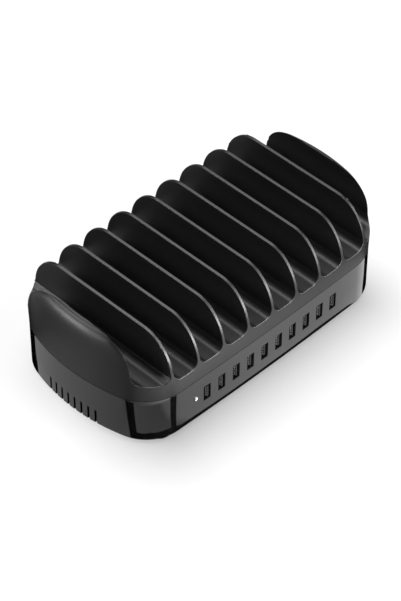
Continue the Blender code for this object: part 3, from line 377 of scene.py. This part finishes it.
def plan_ring(half_length, half_depth, z, inset=0.0):
    """The plan at a height. The near corner is a little tighter at its base than the other three."""
    share = min(max((z - STAND) / (SEAM_Z - STAND), 0), 1)
    change = (TOP_CORNER_RADIUS - CORNER_RADIUS) * min(max((z - RIM_Z) / CORNER_CHANGE_RISE, 0), 1)
    quarters = []
    for base in (CORNER_RADIUS, NEAR_CORNER_RADIUS):
        corner = min(base + (CORNER_RADIUS - base) * share + change, CORNER_LIMIT * half_depth)
        quarters.append(plan_quarter(half_length, half_depth, corner, inset))
    quarter, near = quarters
    ring = [(x, y, z) for x, y in reversed(quarter)] + [(-x, y, z) for x, y in quarter]
    ring += [(-x, -y, z) for x, y in reversed(near[:-1])] + [(x, -y, z) for x, y in quarter[:-1]]
    return ring


def case_half_depth(z):
    return BASE_HALF_DEPTH + (SEAM_HALF_DEPTH - BASE_HALF_DEPTH) * (z - STAND) / (SEAM_Z - STAND)


def fall_off(share, power):
    """How far a superellipse has drawn in at a share of its height."""
    return 1 - (1 - share**power) ** (1 / power)


def cover_ring(z, inset=0.0, look_up=0.0):
    """The rack's plan at a height. An inner ring looks up by its wall to the size that it follows."""
    level = z + look_up
    if level < RIM_Z:
        share = (level - SEAM_Z) / (RIM_Z - SEAM_Z)
        half_depth = SEAM_HALF_DEPTH + (RIM_HALF_DEPTH - SEAM_HALF_DEPTH) * share
    else:
        rise = min((level - RIM_Z) / DIVIDER_RISE, 1)
        half_depth = RIM_HALF_DEPTH - DIVIDER_ARCH * fall_off(rise, DIVIDER_ARCH_POWER)
    lift = min(max((level - TOP_Z) / DOME_RISE + 1, 0), 1)
    half_length = HALF_LENGTH - DOME_REACH * fall_off(lift, DOME_POWER)
    return plan_ring(half_length, half_depth, z, inset)


def slot_profile():
    """The U of a slot, open above."""
    half = SLOT_PITCH / 2 - DIVIDER_WALL / 2
    points = [(half, TOP_Z + OVERRUN), (-half, TOP_Z + OVERRUN)]
    reach = (SLOT_PITCH - DIVIDER_WALL) / 2 - SLOT_FILLET
    for side, start in ((-1, math.pi), (1, 1.5 * math.pi)):
        for step in range(FILLET_STEPS + 1):
            angle = start + math.pi / 2 * step / FILLET_STEPS
            points.append((side * reach + SLOT_FILLET * math.cos(angle),
                           RIM_Z + SLOT_FILLET + SLOT_FILLET * math.sin(angle)))
    return points


def cut(thing, cutter, operation="DIFFERENCE"):
    made = thing.modifiers.new(cutter.name, "BOOLEAN")
    made.object = cutter
    made.operation = operation
    made.solver = "EXACT"


def settle(thing, helpers=()):
    """Applies the modifiers and removes their helpers."""
    graph = bpy.context.evaluated_depsgraph_get()
    graph.update()
    mesh = bpy.data.meshes.new_from_object(thing.evaluated_get(graph), preserve_all_data_layers=True,
                                           depsgraph=graph)
    thing.modifiers.clear()
    thing.data = mesh
    for helper in helpers:
        bpy.data.objects.remove(helper)


def shade(mesh, sharp_angle=SHARP_ANGLE):
    mesh.shade_smooth()
    mesh.set_sharp_from_angle(angle=sharp_angle)


# The rack

SKIRT_RISE = 0.005
RIM_DROP = 0.0015


def rack_body():
    """The outside of the rack, lofted from below the seam to the tops of the dividers."""
    levels = [SEAM_Z - OVERRUN, SEAM_Z + SKIRT_RISE, RIM_Z - RIM_DROP]
    for step in range(ARCH_STEPS):
        levels.append(RIM_Z + DIVIDER_RISE * math.sin(math.pi / 2 * (step + 1) / ARCH_STEPS))
    form = bmesh.new()
    add_loft(form, [cover_ring(level) for level in levels])
    return mesh_object("rack_moulding", form, SATIN)


def rack_cutters():
    """The slots, what is below the seam, and the hollow under the floor."""
    reach = RIM_HALF_DEPTH + OVERRUN
    form = bmesh.new()
    for index in range(SLOT_COUNT):
        middle = (index - (SLOT_COUNT - 1) / 2) * SLOT_PITCH
        add_prism(form, [(x + middle, z) for x, z in slot_profile()], ALONG_Y, -reach, reach)
    slots = mesh_object("slots", form)
    form = bmesh.new()
    outside = HALF_LENGTH + OVERRUN
    add_box(form, (-outside, -reach, SEAM_Z - 2 * OVERRUN), (outside, reach, SEAM_Z + GAP))
    below = mesh_object("below", form)
    form = bmesh.new()
    heights = [SEAM_Z - OVERRUN, RIM_Z - COVER_FLOOR]
    add_loft(form, [cover_ring(height, COVER_WALL, COVER_WALL) for height in heights])
    hollow = mesh_object("hollow", form)
    return [slots, below, hollow]


def merge_short_edges(mesh):
    """Leaves no edge that is too short for a clean rounding."""
    form = bmesh.new()
    form.from_mesh(mesh)
    bmesh.ops.remove_doubles(form, verts=form.verts, dist=SHORT_EDGE)
    bmesh.ops.dissolve_degenerate(form, edges=form.edges, dist=SHORT_EDGE / 4)
    form.to_mesh(mesh)
    form.free()


def weigh_edges(mesh):
    """Gives each sharp edge its share of the rounding: most at the lips, less at the tops."""
    weights = mesh.attributes.new("bevel_weight_edge", "FLOAT", "EDGE")
    sharp = mesh.attributes["sharp_edge"].data
    for edge in mesh.edges:
        if not sharp[edge.index].value:
            continue
        height = sum(mesh.vertices[corner].co.z for corner in edge.vertices) / 2
        if height > RIM_Z - COVER_FLOOR / 2:
            lip = min(max((TOP_Z - height) / (TOP_Z - RIM_Z), 0.0), 1.0)
            weight = TOP_SHARE + (1 - TOP_SHARE) * lip
        else:
            weight = UNDER_SHARE
        weights.data[edge.index].value = weight


def make_rack():
    rack = rack_body()
    cutters = rack_cutters()
    for cutter in cutters:
        cut(rack, cutter)
    settle(rack, cutters)
    merge_short_edges(rack.data)
    shade(rack.data)
    weigh_edges(rack.data)
    made = rack.modifiers.new("rounded", "BEVEL")
    made.width = LIP_EDGE
    made.segments = LIP_STEPS
    made.limit_method = "WEIGHT"
    made.use_clamp_overlap = False
    made.harden_normals = True
    settle(rack)
    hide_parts("rack_cover")
    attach(rack, "station")


make_rack()


# The case, with crisp windows and a finer base rounding

CASE_EDGE = 0.0010
CASE_EDGE_STEPS = 8
LIP_INSET = COVER_WALL + GAP
LIP_RISE = 0.0025
LIP_WALL = 0.0012
SHELF_DROP = 0.0025
OPEN_RISE = 0.005

PORT_COUNT = 10
PORT_PITCH = 0.01475
PORT_Z = 0.0240
PORT_WIDTH = 0.0056
PORT_HEIGHT = 0.013
WINDOW_GAP = 0.0007
WINDOW_CORNER = 0.0006
WINDOW_STEPS = 4
PIPE_X = -0.0777
PIPE_Z = 0.0249
PIPE_RADIUS = 0.0014

BAY_LEFT = 0.022
BAY_LENGTH = 0.062
BAY_BOTTOM = 0.0125
BAY_HEIGHT = 0.025
BAY_DEPTH = 0.003
BAY_CORNER = 0.003
BAY_STEPS = 8
BAY_JOIN = 0.0005
BAY_MIDDLE_X = BAY_LEFT + BAY_LENGTH / 2
BAY_MIDDLE_Z = BAY_BOTTOM + BAY_HEIGHT / 2
BAY_FLOOR = case_half_depth(BAY_MIDDLE_Z) - BAY_DEPTH
INLET_SHARE = 0.29
INLET_X = BAY_LEFT + BAY_LENGTH * INLET_SHARE
INLET_HOLE = (0.0226, 0.0131)
SWITCH_SHARE = 0.77
SWITCH_X = BAY_LEFT + BAY_LENGTH * SWITCH_SHARE
SWITCH_HOLE = (0.0136, 0.0202)

VENT_COUNT = 8
VENT_PITCH = 0.00678
VENT_HALF_WIDTH = 0.0010
VENT_RISE = 0.0133
VENT_REACH = 0.006

FOOT = (HALF_LENGTH - 0.032, BASE_HALF_DEPTH - 0.0145)
FOOT_RADIUS = 0.0095
FOOT_RECESS = 0.0008
FOOT_EDGE = 0.0006
FOOT_EDGE_STEPS = 4
FOOT_SIDES = 64
FOOT_RING = 0.8
FOOT_DISH = 0.76
FOOT_SHARP_ANGLE = math.radians(40)

SCREW = (HALF_LENGTH - 0.0215, BASE_HALF_DEPTH - 0.035)
SCREW_HEAD_RADIUS = 0.0031
SCREW_HEAD_RECESS = 0.0025
SCREW_SHANK_RADIUS = 0.00175
SCREW_SHANK_START = 0.002

ROUND_SIDES = 32
SHANK_SIDES = 24
MERGE_DISTANCE = 1e-6


def port_places():
    return [(index - (PORT_COUNT - 1) / 2) * PORT_PITCH for index in range(PORT_COUNT)]


def four(place):
    """A place and its mirror images in the other three corners."""
    return [(side * place[0], way * place[1]) for way in SIGNS for side in SIGNS]


def case_body():
    """The outside of the case: a rounded base edge, the walls, and the lip inside the rack."""
    rings = []
    for step in range(CASE_EDGE_STEPS + 1):
        angle = math.pi / 2 * step / CASE_EDGE_STEPS
        z = STAND + CASE_EDGE * (1 - math.cos(angle))
        rings.append(plan_ring(HALF_LENGTH, case_half_depth(z), z, CASE_EDGE * (1 - math.sin(angle))))
    rings.append(plan_ring(HALF_LENGTH, case_half_depth(PORT_Z), PORT_Z))
    rings.append(plan_ring(HALF_LENGTH, SEAM_HALF_DEPTH, SEAM_Z))
    rings.append(plan_ring(HALF_LENGTH, SEAM_HALF_DEPTH, SEAM_Z, LIP_INSET))
    rings.append(plan_ring(HALF_LENGTH, SEAM_HALF_DEPTH, SEAM_Z + LIP_RISE, LIP_INSET))
    form = bmesh.new()
    add_loft(form, rings)
    return mesh_object("case_moulding", form, GLOSS)


def case_inside():
    floor = STAND + CASE_WALL
    shelf = SEAM_Z - SHELF_DROP
    wall = LIP_INSET + LIP_WALL
    form = bmesh.new()
    add_loft(form, [plan_ring(HALF_LENGTH, BASE_HALF_DEPTH, floor, CASE_WALL),
                    plan_ring(HALF_LENGTH, case_half_depth(shelf), shelf, CASE_WALL),
                    plan_ring(HALF_LENGTH, SEAM_HALF_DEPTH, SEAM_Z, wall),
                    plan_ring(HALF_LENGTH, SEAM_HALF_DEPTH, SEAM_Z + OPEN_RISE, wall)])
    return mesh_object("inside", form)


def bay_pad():
    """The block behind the back wall that the bay is cut into."""
    form = bmesh.new()
    add_box(form, (BAY_LEFT - CASE_WALL, BAY_FLOOR - CASE_WALL, BAY_BOTTOM - CASE_WALL),
            (BAY_LEFT + BAY_LENGTH + CASE_WALL, SEAM_HALF_DEPTH - CASE_WALL + BAY_JOIN,
             BAY_BOTTOM + BAY_HEIGHT + CASE_WALL))
    return mesh_object("pad", form)


def bay_recess():
    form = bmesh.new()
    middle = (BAY_MIDDLE_X, BAY_MIDDLE_Z)
    outline = rounded_rectangle(middle, (BAY_LENGTH, BAY_HEIGHT), BAY_CORNER, BAY_STEPS)
    add_prism(form, outline, ALONG_Y, BAY_FLOOR, SEAM_HALF_DEPTH + OVERRUN)
    return mesh_object("bay", form)


def case_holes():
    """The port windows, light pipe, inlet, switch, end vents, foot recesses and screw holes."""
    form = bmesh.new()
    front, back = -SEAM_HALF_DEPTH - OVERRUN, -BASE_HALF_DEPTH + CASE_WALL + OVERRUN
    size = (PORT_WIDTH + 2 * WINDOW_GAP, PORT_HEIGHT + 2 * WINDOW_GAP)
    for x in port_places():
        window = rounded_rectangle((x, PORT_Z), size, WINDOW_CORNER, WINDOW_STEPS)
        add_prism(form, window, ALONG_Y, front, back)
    add_rod(form, PIPE_RADIUS + GAP, (PIPE_X, front, PIPE_Z), (PIPE_X, back, PIPE_Z), ROUND_SIDES)
    for x, size in ((INLET_X, INLET_HOLE), (SWITCH_X, SWITCH_HOLE)):
        add_box(form, (x - size[0] / 2, BAY_FLOOR - CASE_WALL - OVERRUN, BAY_MIDDLE_Z - size[1] / 2),
                (x + size[0] / 2, BAY_FLOOR + BAY_JOIN, BAY_MIDDLE_Z + size[1] / 2))
    for side in SIGNS:
        ends = sorted((side * (HALF_LENGTH + OVERRUN), side * (HALF_LENGTH - CASE_WALL - VENT_REACH)))
        for index in range(VENT_COUNT):
            y = (index - (VENT_COUNT - 1) / 2) * VENT_PITCH
            add_box(form, (ends[0], y - VENT_HALF_WIDTH, STAND - OVERRUN),
                    (ends[1], y + VENT_HALF_WIDTH, STAND + VENT_RISE))
    for x, y in four(FOOT):
        add_rod(form, FOOT_RADIUS + GAP, (x, y, STAND - OVERRUN), (x, y, STAND + FOOT_RECESS), FOOT_SIDES)
    for x, y in four(SCREW):
        add_rod(form, SCREW_HEAD_RADIUS, (x, y, STAND - OVERRUN), (x, y, STAND + SCREW_HEAD_RECESS),
                ROUND_SIDES)
        add_rod(form, SCREW_SHANK_RADIUS, (x, y, STAND + SCREW_SHANK_START),
                (x, y, STAND + CASE_WALL + OVERRUN), SHANK_SIDES)
    return mesh_object("holes", form)


def make_case():
    case = case_body()
    inside, pad, bay, holes = case_inside(), bay_pad(), bay_recess(), case_holes()
    cut(case, inside)
    cut(case, pad, "UNION")
    cut(case, bay)
    cut(case, holes)
    settle(case, [inside, pad, bay, holes])
    shade(case.data)
    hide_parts("lower_case")
    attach(case, "station")


make_case()


# The feet


def foot_outline():
    """Half of a foot's section, from its middle above to its middle below."""
    outline = [(0.0, STAND + FOOT_RECESS), (FOOT_RADIUS, STAND + FOOT_RECESS)]
    for step in range(FOOT_EDGE_STEPS + 1):
        angle = math.pi / 2 * step / FOOT_EDGE_STEPS
        outline.append((FOOT_RADIUS - FOOT_EDGE * (1 - math.cos(angle)), FOOT_EDGE * (1 - math.sin(angle))))
    outline += [(FOOT_RADIUS * FOOT_RING, 0.0), (FOOT_RADIUS * FOOT_DISH, FOOT_EDGE), (0.0, FOOT_EDGE)]
    return outline


def make_feet():
    """Round rubber pads with a rounded lower edge and a shallow dish underneath."""
    for name in sorted(name for name in frame["nodes"] if name.startswith("foot_")):
        low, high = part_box(name)
        side, way = (math.copysign(1, low[axis] + high[axis]) for axis in (0, 1))
        form = bmesh.new()
        verts = [form.verts.new((radius, 0, z)) for radius, z in foot_outline()]
        edges = [form.edges.new(pair) for pair in zip(verts, verts[1:])]
        bmesh.ops.spin(form, geom=verts + edges, axis=(0, 0, 1), cent=(0, 0, 0), steps=FOOT_SIDES,
                       angle=2 * math.pi, use_merge=True)
        bmesh.ops.remove_doubles(form, verts=form.verts, dist=MERGE_DISTANCE)
        bmesh.ops.translate(form, verts=form.verts, vec=(side * FOOT[0], way * FOOT[1], 0))
        pad = mesh_object(name + "_pad", form, RUBBER)
        shade(pad.data, FOOT_SHARP_ANGLE)
        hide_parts(name)
        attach(pad, "station")


make_feet()


# Contacts of the ports: how far each bows out, and where along the tongue

CONTACT_CURVE = ((0.0003, 0.0012), (0.0010, 0.0022), (0.0013, 0.0034), (0.0010, 0.0048), (0.0002, 0.0075))
CONTACT_SHEET = 0.00018
CONTACT_WIDTH = 0.0012
CONTACT_RISES = (-0.0035, -0.0012, 0.0012, 0.0035)
CONTACT_SET_BACK = 0.0004
CONTACT = surface("contact_nickel", (0.70, 0.66, 0.56), 0.55, 1.0, spread=0.2)


def make_contacts():
    """Four sprung contacts that bow out from the left side of every tongue."""
    front = -case_half_depth(PORT_Z) + CONTACT_SET_BACK
    for number, x in enumerate(port_places(), 1):
        outline = [(x - out, front + along) for out, along in CONTACT_CURVE]
        outline += [(px + CONTACT_SHEET, py) for px, py in reversed(outline)]
        form = bmesh.new()
        for rise in CONTACT_RISES:
            low, high = PORT_Z + rise - CONTACT_WIDTH / 2, PORT_Z + rise + CONTACT_WIDTH / 2
            add_prism(form, outline, ALONG_Z, low, high)
        strips = mesh_object(f"port_contacts_{number:02d}", form, CONTACT)
        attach(strips, "station")


make_contacts()


# The floor. The camera sees it white with the station's shadow, partly real and partly painted, and mirrors
# see painted levels of grey there

FLOOR_HALF_SIZE = 6.0
FLOOR_GREY = 0.62
FLOOR_CAMERA_DROP = 0.31

# Painted shadow: the white that the camera sees, by the distance from a line under the front as a share of
# the reach
SHADOW_HALF_LENGTH = 0.096
SHADOW_LINE_Y = -0.0675
SHADOW_REACH = 0.1
SHADOW_STOPS = [(0.0, 0.27), (0.2, 0.42), (0.4, 0.56), (0.6, 0.66), (0.85, 0.73)]

# Painted reflections: what mirrors see of the floor, by the direction from the middle in degrees from +X.
# The levels come from a least-squares fit of test renders to the photograph, rounded and in places set one
# by one
PAINTED_NEAR_LEVELS = {-180: 0.31, -150: 0.23, -142: 0.28, -122: 0.2, -119: 0.42, -90: 0.55, -70: 0.55, -60: 0.56,
               -50: 0.84, -42: 0.85, -34: 0.4, -20: 0.0, 100: 0.1, 130: 0.36, 150: 0.32, 180: 0.31}
PAINTED_FAR_LEVELS = {-180: 0.24, -150: 0.1, -130: 0.4, -115: 1.0, -90: 0.8, -70: 0.5, -50: 0.16, -35: 0.0,
              110: 0.5, 130: 0.1, 152: 0.3, 180: 0.3}

# Painted shade: dark shapes on the floor, seen only by mirrors, which paint dark reflections: two wedges,
# the painted contact shadow, and most of what is behind. Some of the corners are where edges of the
# reflections in the photograph land on the floor, worked out by a scratch script from places picked by
# eye. Others were set or moved one by one
PAINTED_SHADES = {
    "left_wedge": ((-0.1235, -0.0530), (-0.1343, -0.0520), (-0.1671, -0.0489), (-0.1620, -0.0680),
                   (-0.1475, -0.0642), (-0.1323, -0.0603), (-0.1210, -0.0573)),
    "front_wedge": ((-0.0990, -0.0705), (-0.0977, -0.0824), (-0.0957, -0.0977), (-0.0938, -0.1120),
                    (-0.0780, -0.1070), (-0.0847, -0.0929), (-0.0911, -0.0792), (-0.0965, -0.0705)),
    "contact_shade": ((-0.1310, 0.0300), (-0.1320, 0.0), (-0.1310, -0.0200), (-0.1280, -0.0380),
                      (-0.1262, -0.0500), (-0.1310, -0.0590), (-0.1276, -0.0629), (-0.1206, -0.0714),
                      (-0.1107, -0.0764), (-0.1040, -0.0786), (-0.0961, -0.0790), (-0.0878, -0.0757),
                      (-0.0600, -0.0759), (0.0, -0.0763), (0.0600, -0.0759), (0.0900, -0.0745),
                      (0.1080, -0.0690), (0.1080, 0.0), (0.0, 0.0300)),
    "back_shade": ((-0.1283, 0.0450), (-0.1360, 0.1200), (-0.1600, 0.3450), (-0.0500, 0.3450),
                   (-0.0500, 0.1350), (0.1300, 0.1350), (0.4000, 0.2500), (0.4000, -0.0690),
                   (0.1030, -0.0695), (0.0, 0.0)),
}
SHADE_LIFT = 0.0004
RING_LIFT = 0.0002
RING_RISE = 2.0
CAMERA = Vector((-1.00055, -1.00075, 1.3916))


def floor_places(tree):
    """The X and Y of a point of the floor."""
    split = node(tree, "ShaderNodeSeparateXYZ")
    tree.links.new(node(tree, "ShaderNodeTexCoord").outputs["Object"], split.inputs[0])
    return split.outputs["X"], split.outputs["Y"]


def painted_reflection_glow(tree, levels):
    """Painted reflection: what the floor shows to mirrors, a level that changes round the case."""
    x, y = floor_places(tree)
    angle = math_node(tree, "ARCTAN2", math_node(tree, "DIVIDE", y, SEAM_HALF_DEPTH),
                      math_node(tree, "DIVIDE", x, HALF_LENGTH))
    turn = math_node(tree, "DIVIDE", math_node(tree, "ADD", angle, math.pi), 2 * math.pi)
    return ramp(tree, turn, [((180 + degrees) / 360, value) for degrees, value in levels.items()])


def painted_shadow_white(tree):
    """The white that the floor adds for the camera, with a painted shadow: less along the front foot of the
    case.
    """
    x, y = floor_places(tree)
    side = math_node(tree, "SUBTRACT", math_node(tree, "ABSOLUTE", x), SHADOW_HALF_LENGTH)
    side = math_node(tree, "POWER", math_node(tree, "MAXIMUM", side, 0.0), 2.0)
    ahead = math_node(tree, "POWER", math_node(tree, "SUBTRACT", y, SHADOW_LINE_Y), 2.0)
    distance = math_node(tree, "SQRT", math_node(tree, "ADD", side, ahead))
    return ramp(tree, math_node(tree, "DIVIDE", distance, SHADOW_REACH), SHADOW_STOPS)


def floor_material():
    """A pale floor that shows the camera its real shadow plus a painted one, and shows reflections painted
    levels of its own.
    """
    made = bpy.data.materials.new("floor")
    tree = empty_tree(made)
    path = node(tree, "ShaderNodeLightPath")
    camera = path.outputs["Is Camera Ray"]
    matt = node(tree, "ShaderNodeBsdfDiffuse")
    drop = math_node(tree, "MULTIPLY", camera, FLOOR_CAMERA_DROP)
    tree.links.new(math_node(tree, "SUBTRACT", FLOOR_GREY, drop), matt.inputs["Color"])
    white = node(tree, "ShaderNodeEmission", color=(1, 1, 1, 1))
    # The camera's white is less near the front of the case: a painted shadow
    tree.links.new(math_node(tree, "MULTIPLY", camera, painted_shadow_white(tree)), white.inputs["Strength"])
    seen = node(tree, "ShaderNodeAddShader")
    tree.links.new(matt.outputs[0], seen.inputs[0])
    tree.links.new(white.outputs[0], seen.inputs[1])
    # Mirrors see a painted reflection level here in place of the lit floor
    glow = node(tree, "ShaderNodeEmission", strength=1.0)
    tree.links.new(painted_reflection_glow(tree, PAINTED_NEAR_LEVELS), glow.inputs["Color"])
    mirror = node(tree, "ShaderNodeMixShader")
    both = math_node(tree, "MAXIMUM", path.outputs["Is Glossy Ray"], path.outputs["Is Transmission Ray"])
    tree.links.new(both, mirror.inputs[0])
    tree.links.new(seen.outputs[0], mirror.inputs[1])
    tree.links.new(glow.outputs[0], mirror.inputs[2])
    tree.links.new(mirror.outputs[0], node(tree, "ShaderNodeOutputMaterial").inputs[0])
    return made


def painted_reflection_material(name, levels=None):
    """A glow with the levels of the floor round the case, as a painted reflection, or a black one, as
    painted shade.
    """
    made = bpy.data.materials.new(name)
    tree = empty_tree(made)
    glow = node(tree, "ShaderNodeEmission", strength=1.0 if levels else 0.0)
    if levels:
        tree.links.new(painted_reflection_glow(tree, levels), glow.inputs["Color"])
    tree.links.new(glow.outputs[0], node(tree, "ShaderNodeOutputMaterial").inputs[0])
    return made


def add_floor():
    form = bmesh.new()
    bmesh.ops.create_grid(form, x_segments=1, y_segments=1, size=FLOOR_HALF_SIZE)
    mesh_object("floor", form, floor_material())


def mirrors_only(thing):
    thing.visible_camera = False
    thing.visible_diffuse = False
    thing.visible_transmission = False
    thing.visible_shadow = False


def mirrored(place, normal, rise):
    """Where the camera sees a height of an upright wall on the floor: mirrored, or straight past it."""
    sight = (place - CAMERA).normalized()
    facing = sight.dot(normal)
    if facing < 0:
        sight -= 2 * facing * normal
    return place + sight * (rise / -sight.z) - Vector((0, 0, place.z))


def add_painted_reflection_ring():
    """A glowing ring on the floor beyond the reflection of the seam: a painted reflection which only the
    satin rack shows.
    """
    outline = [Vector(point) for point in plan_ring(HALF_LENGTH, SEAM_HALF_DEPTH, SEAM_Z)]
    form = bmesh.new()
    rows = []
    for index, place in enumerate(outline):
        along = outline[(index + 1) % len(outline)] - outline[index - 1]
        normal = Vector((along.y, -along.x, 0)).normalized()
        row = []
        for rise in (SEAM_Z, SEAM_Z + RING_RISE):
            point = mirrored(place, normal, rise)
            row.append(form.verts.new((point.x, point.y, RING_LIFT)))
        rows.append(row)
    for index, (low, high) in enumerate(rows):
        after = rows[(index + 1) % len(rows)]
        form.faces.new((low, after[0], after[1], high))
    mirrors_only(mesh_object("far_floor", form, painted_reflection_material("far_floor", PAINTED_FAR_LEVELS)))


def add_painted_shades():
    """Painted shade: the dark shapes, which give the gloss case its dark upright strips, its dark foot and
    its ends in reflection.
    """
    # A black glow seen only in reflections: painted shade
    black = painted_reflection_material("shade")
    for number, (name, corners) in enumerate(PAINTED_SHADES.items(), 1):
        form = bmesh.new()
        form.faces.new([form.verts.new((*corner, SHADE_LIFT * number)) for corner in corners])
        mirrors_only(mesh_object(name, form, black))


add_floor()
add_painted_reflection_ring()
add_painted_shades()


# Light and world

WORLD_FILL = 0.02

# Each light: its azimuth from +X and its elevation in degrees, its width and height, and its power.
# The powers come from the same fit as the floor's levels
LIGHTS = {
    "back_right_light": (45, 62, (0.8, 0.8), 3.4),
    "back_right_low_light": (45, 40, (0.8, 0.8), 1.5),
    "back_light": (83, 58, (0.8, 0.6), 2.1),
    "back_left_light": (140, 38, (0.6, 0.6), 3.1),
    "left_low_light": (150, 5, (0.6, 0.6), 6.0),
    "overhead_light": (0, 90, (0.8, 0.8), 9.7),
    "right_light": (330, 30, (0.7, 0.7), 2.5),
    "right_low_light": (345, 10, (0.7, 0.7), 7.5),
    "front_right_light": (306, 30, (0.7, 0.7), 1.5),
    "front_right_low_light": (301, 5, (0.7, 0.7), 3.5),
    "front_light": (285, 12, (0.8, 0.8), 22.0),
    "front_upper_light": (285, 50, (0.7, 0.7), 5.0),
}
LIGHT_DISTANCE = 1.5


def add_world():
    """White behind everything for the camera, and a faint fill for the rest."""
    made = bpy.data.worlds.new("studio")
    bpy.context.scene.world = made
    tree = empty_tree(made)
    path = node(tree, "ShaderNodeLightPath")
    fill = node(tree, "ShaderNodeBackground", color=(1, 1, 1, 1), strength=WORLD_FILL)
    white = node(tree, "ShaderNodeBackground", color=(1, 1, 1, 1), strength=1.0)
    pick = node(tree, "ShaderNodeMixShader")
    tree.links.new(path.outputs["Is Camera Ray"], pick.inputs[0])
    tree.links.new(fill.outputs[0], pick.inputs[1])
    tree.links.new(white.outputs[0], pick.inputs[2])
    tree.links.new(pick.outputs[0], node(tree, "ShaderNodeOutputWorld").inputs[0])


def add_lights():
    """Soft boxes round the station, each turned to its middle."""
    for name, (azimuth, elevation, size, power) in LIGHTS.items():
        turn, rise = math.radians(azimuth), math.radians(elevation)
        way = Vector((math.cos(turn) * math.cos(rise), math.sin(turn) * math.cos(rise), math.sin(rise)))
        light = bpy.data.lights.new(name, "AREA")
        light.shape = "RECTANGLE"
        light.size, light.size_y = size
        light.energy = power
        thing = bpy.data.objects.new(name, light)
        bpy.context.scene.collection.objects.link(thing)
        thing.location = way * LIGHT_DISTANCE
        thing.rotation_euler = (Vector() - thing.location).to_track_quat("-Z", "Y").to_euler()


add_world()
add_lights()


# Camera

LENS = 157.35
SENSOR_HEIGHT = 36.0
CAMERA_TURN = math.radians(-44.968)
CAMERA_ELEVATION = math.radians(44.09)
CAMERA_REACH = 50


def add_camera():
    """The viewpoint that a fit to the dividers and the case's outline gives."""
    camera = bpy.data.cameras.new("camera")
    camera.sensor_fit = "VERTICAL"
    camera.sensor_height = SENSOR_HEIGHT
    camera.lens = LENS
    camera.clip_end = CAMERA_REACH
    thing = bpy.data.objects.new("camera", camera)
    bpy.context.scene.collection.objects.link(thing)
    level = math.cos(CAMERA_ELEVATION)
    height = math.sin(CAMERA_ELEVATION)
    back = Vector((math.sin(CAMERA_TURN) * level, -math.cos(CAMERA_TURN) * level, height))
    right = Vector((math.cos(CAMERA_TURN), math.sin(CAMERA_TURN), 0))
    turn = Matrix((right, back.cross(right), back)).transposed().to_4x4()
    thing.matrix_world = Matrix.Translation(CAMERA) @ turn
    bpy.context.scene.camera = thing


add_camera()
bpy.context.scene.view_settings.view_transform = "Standard"
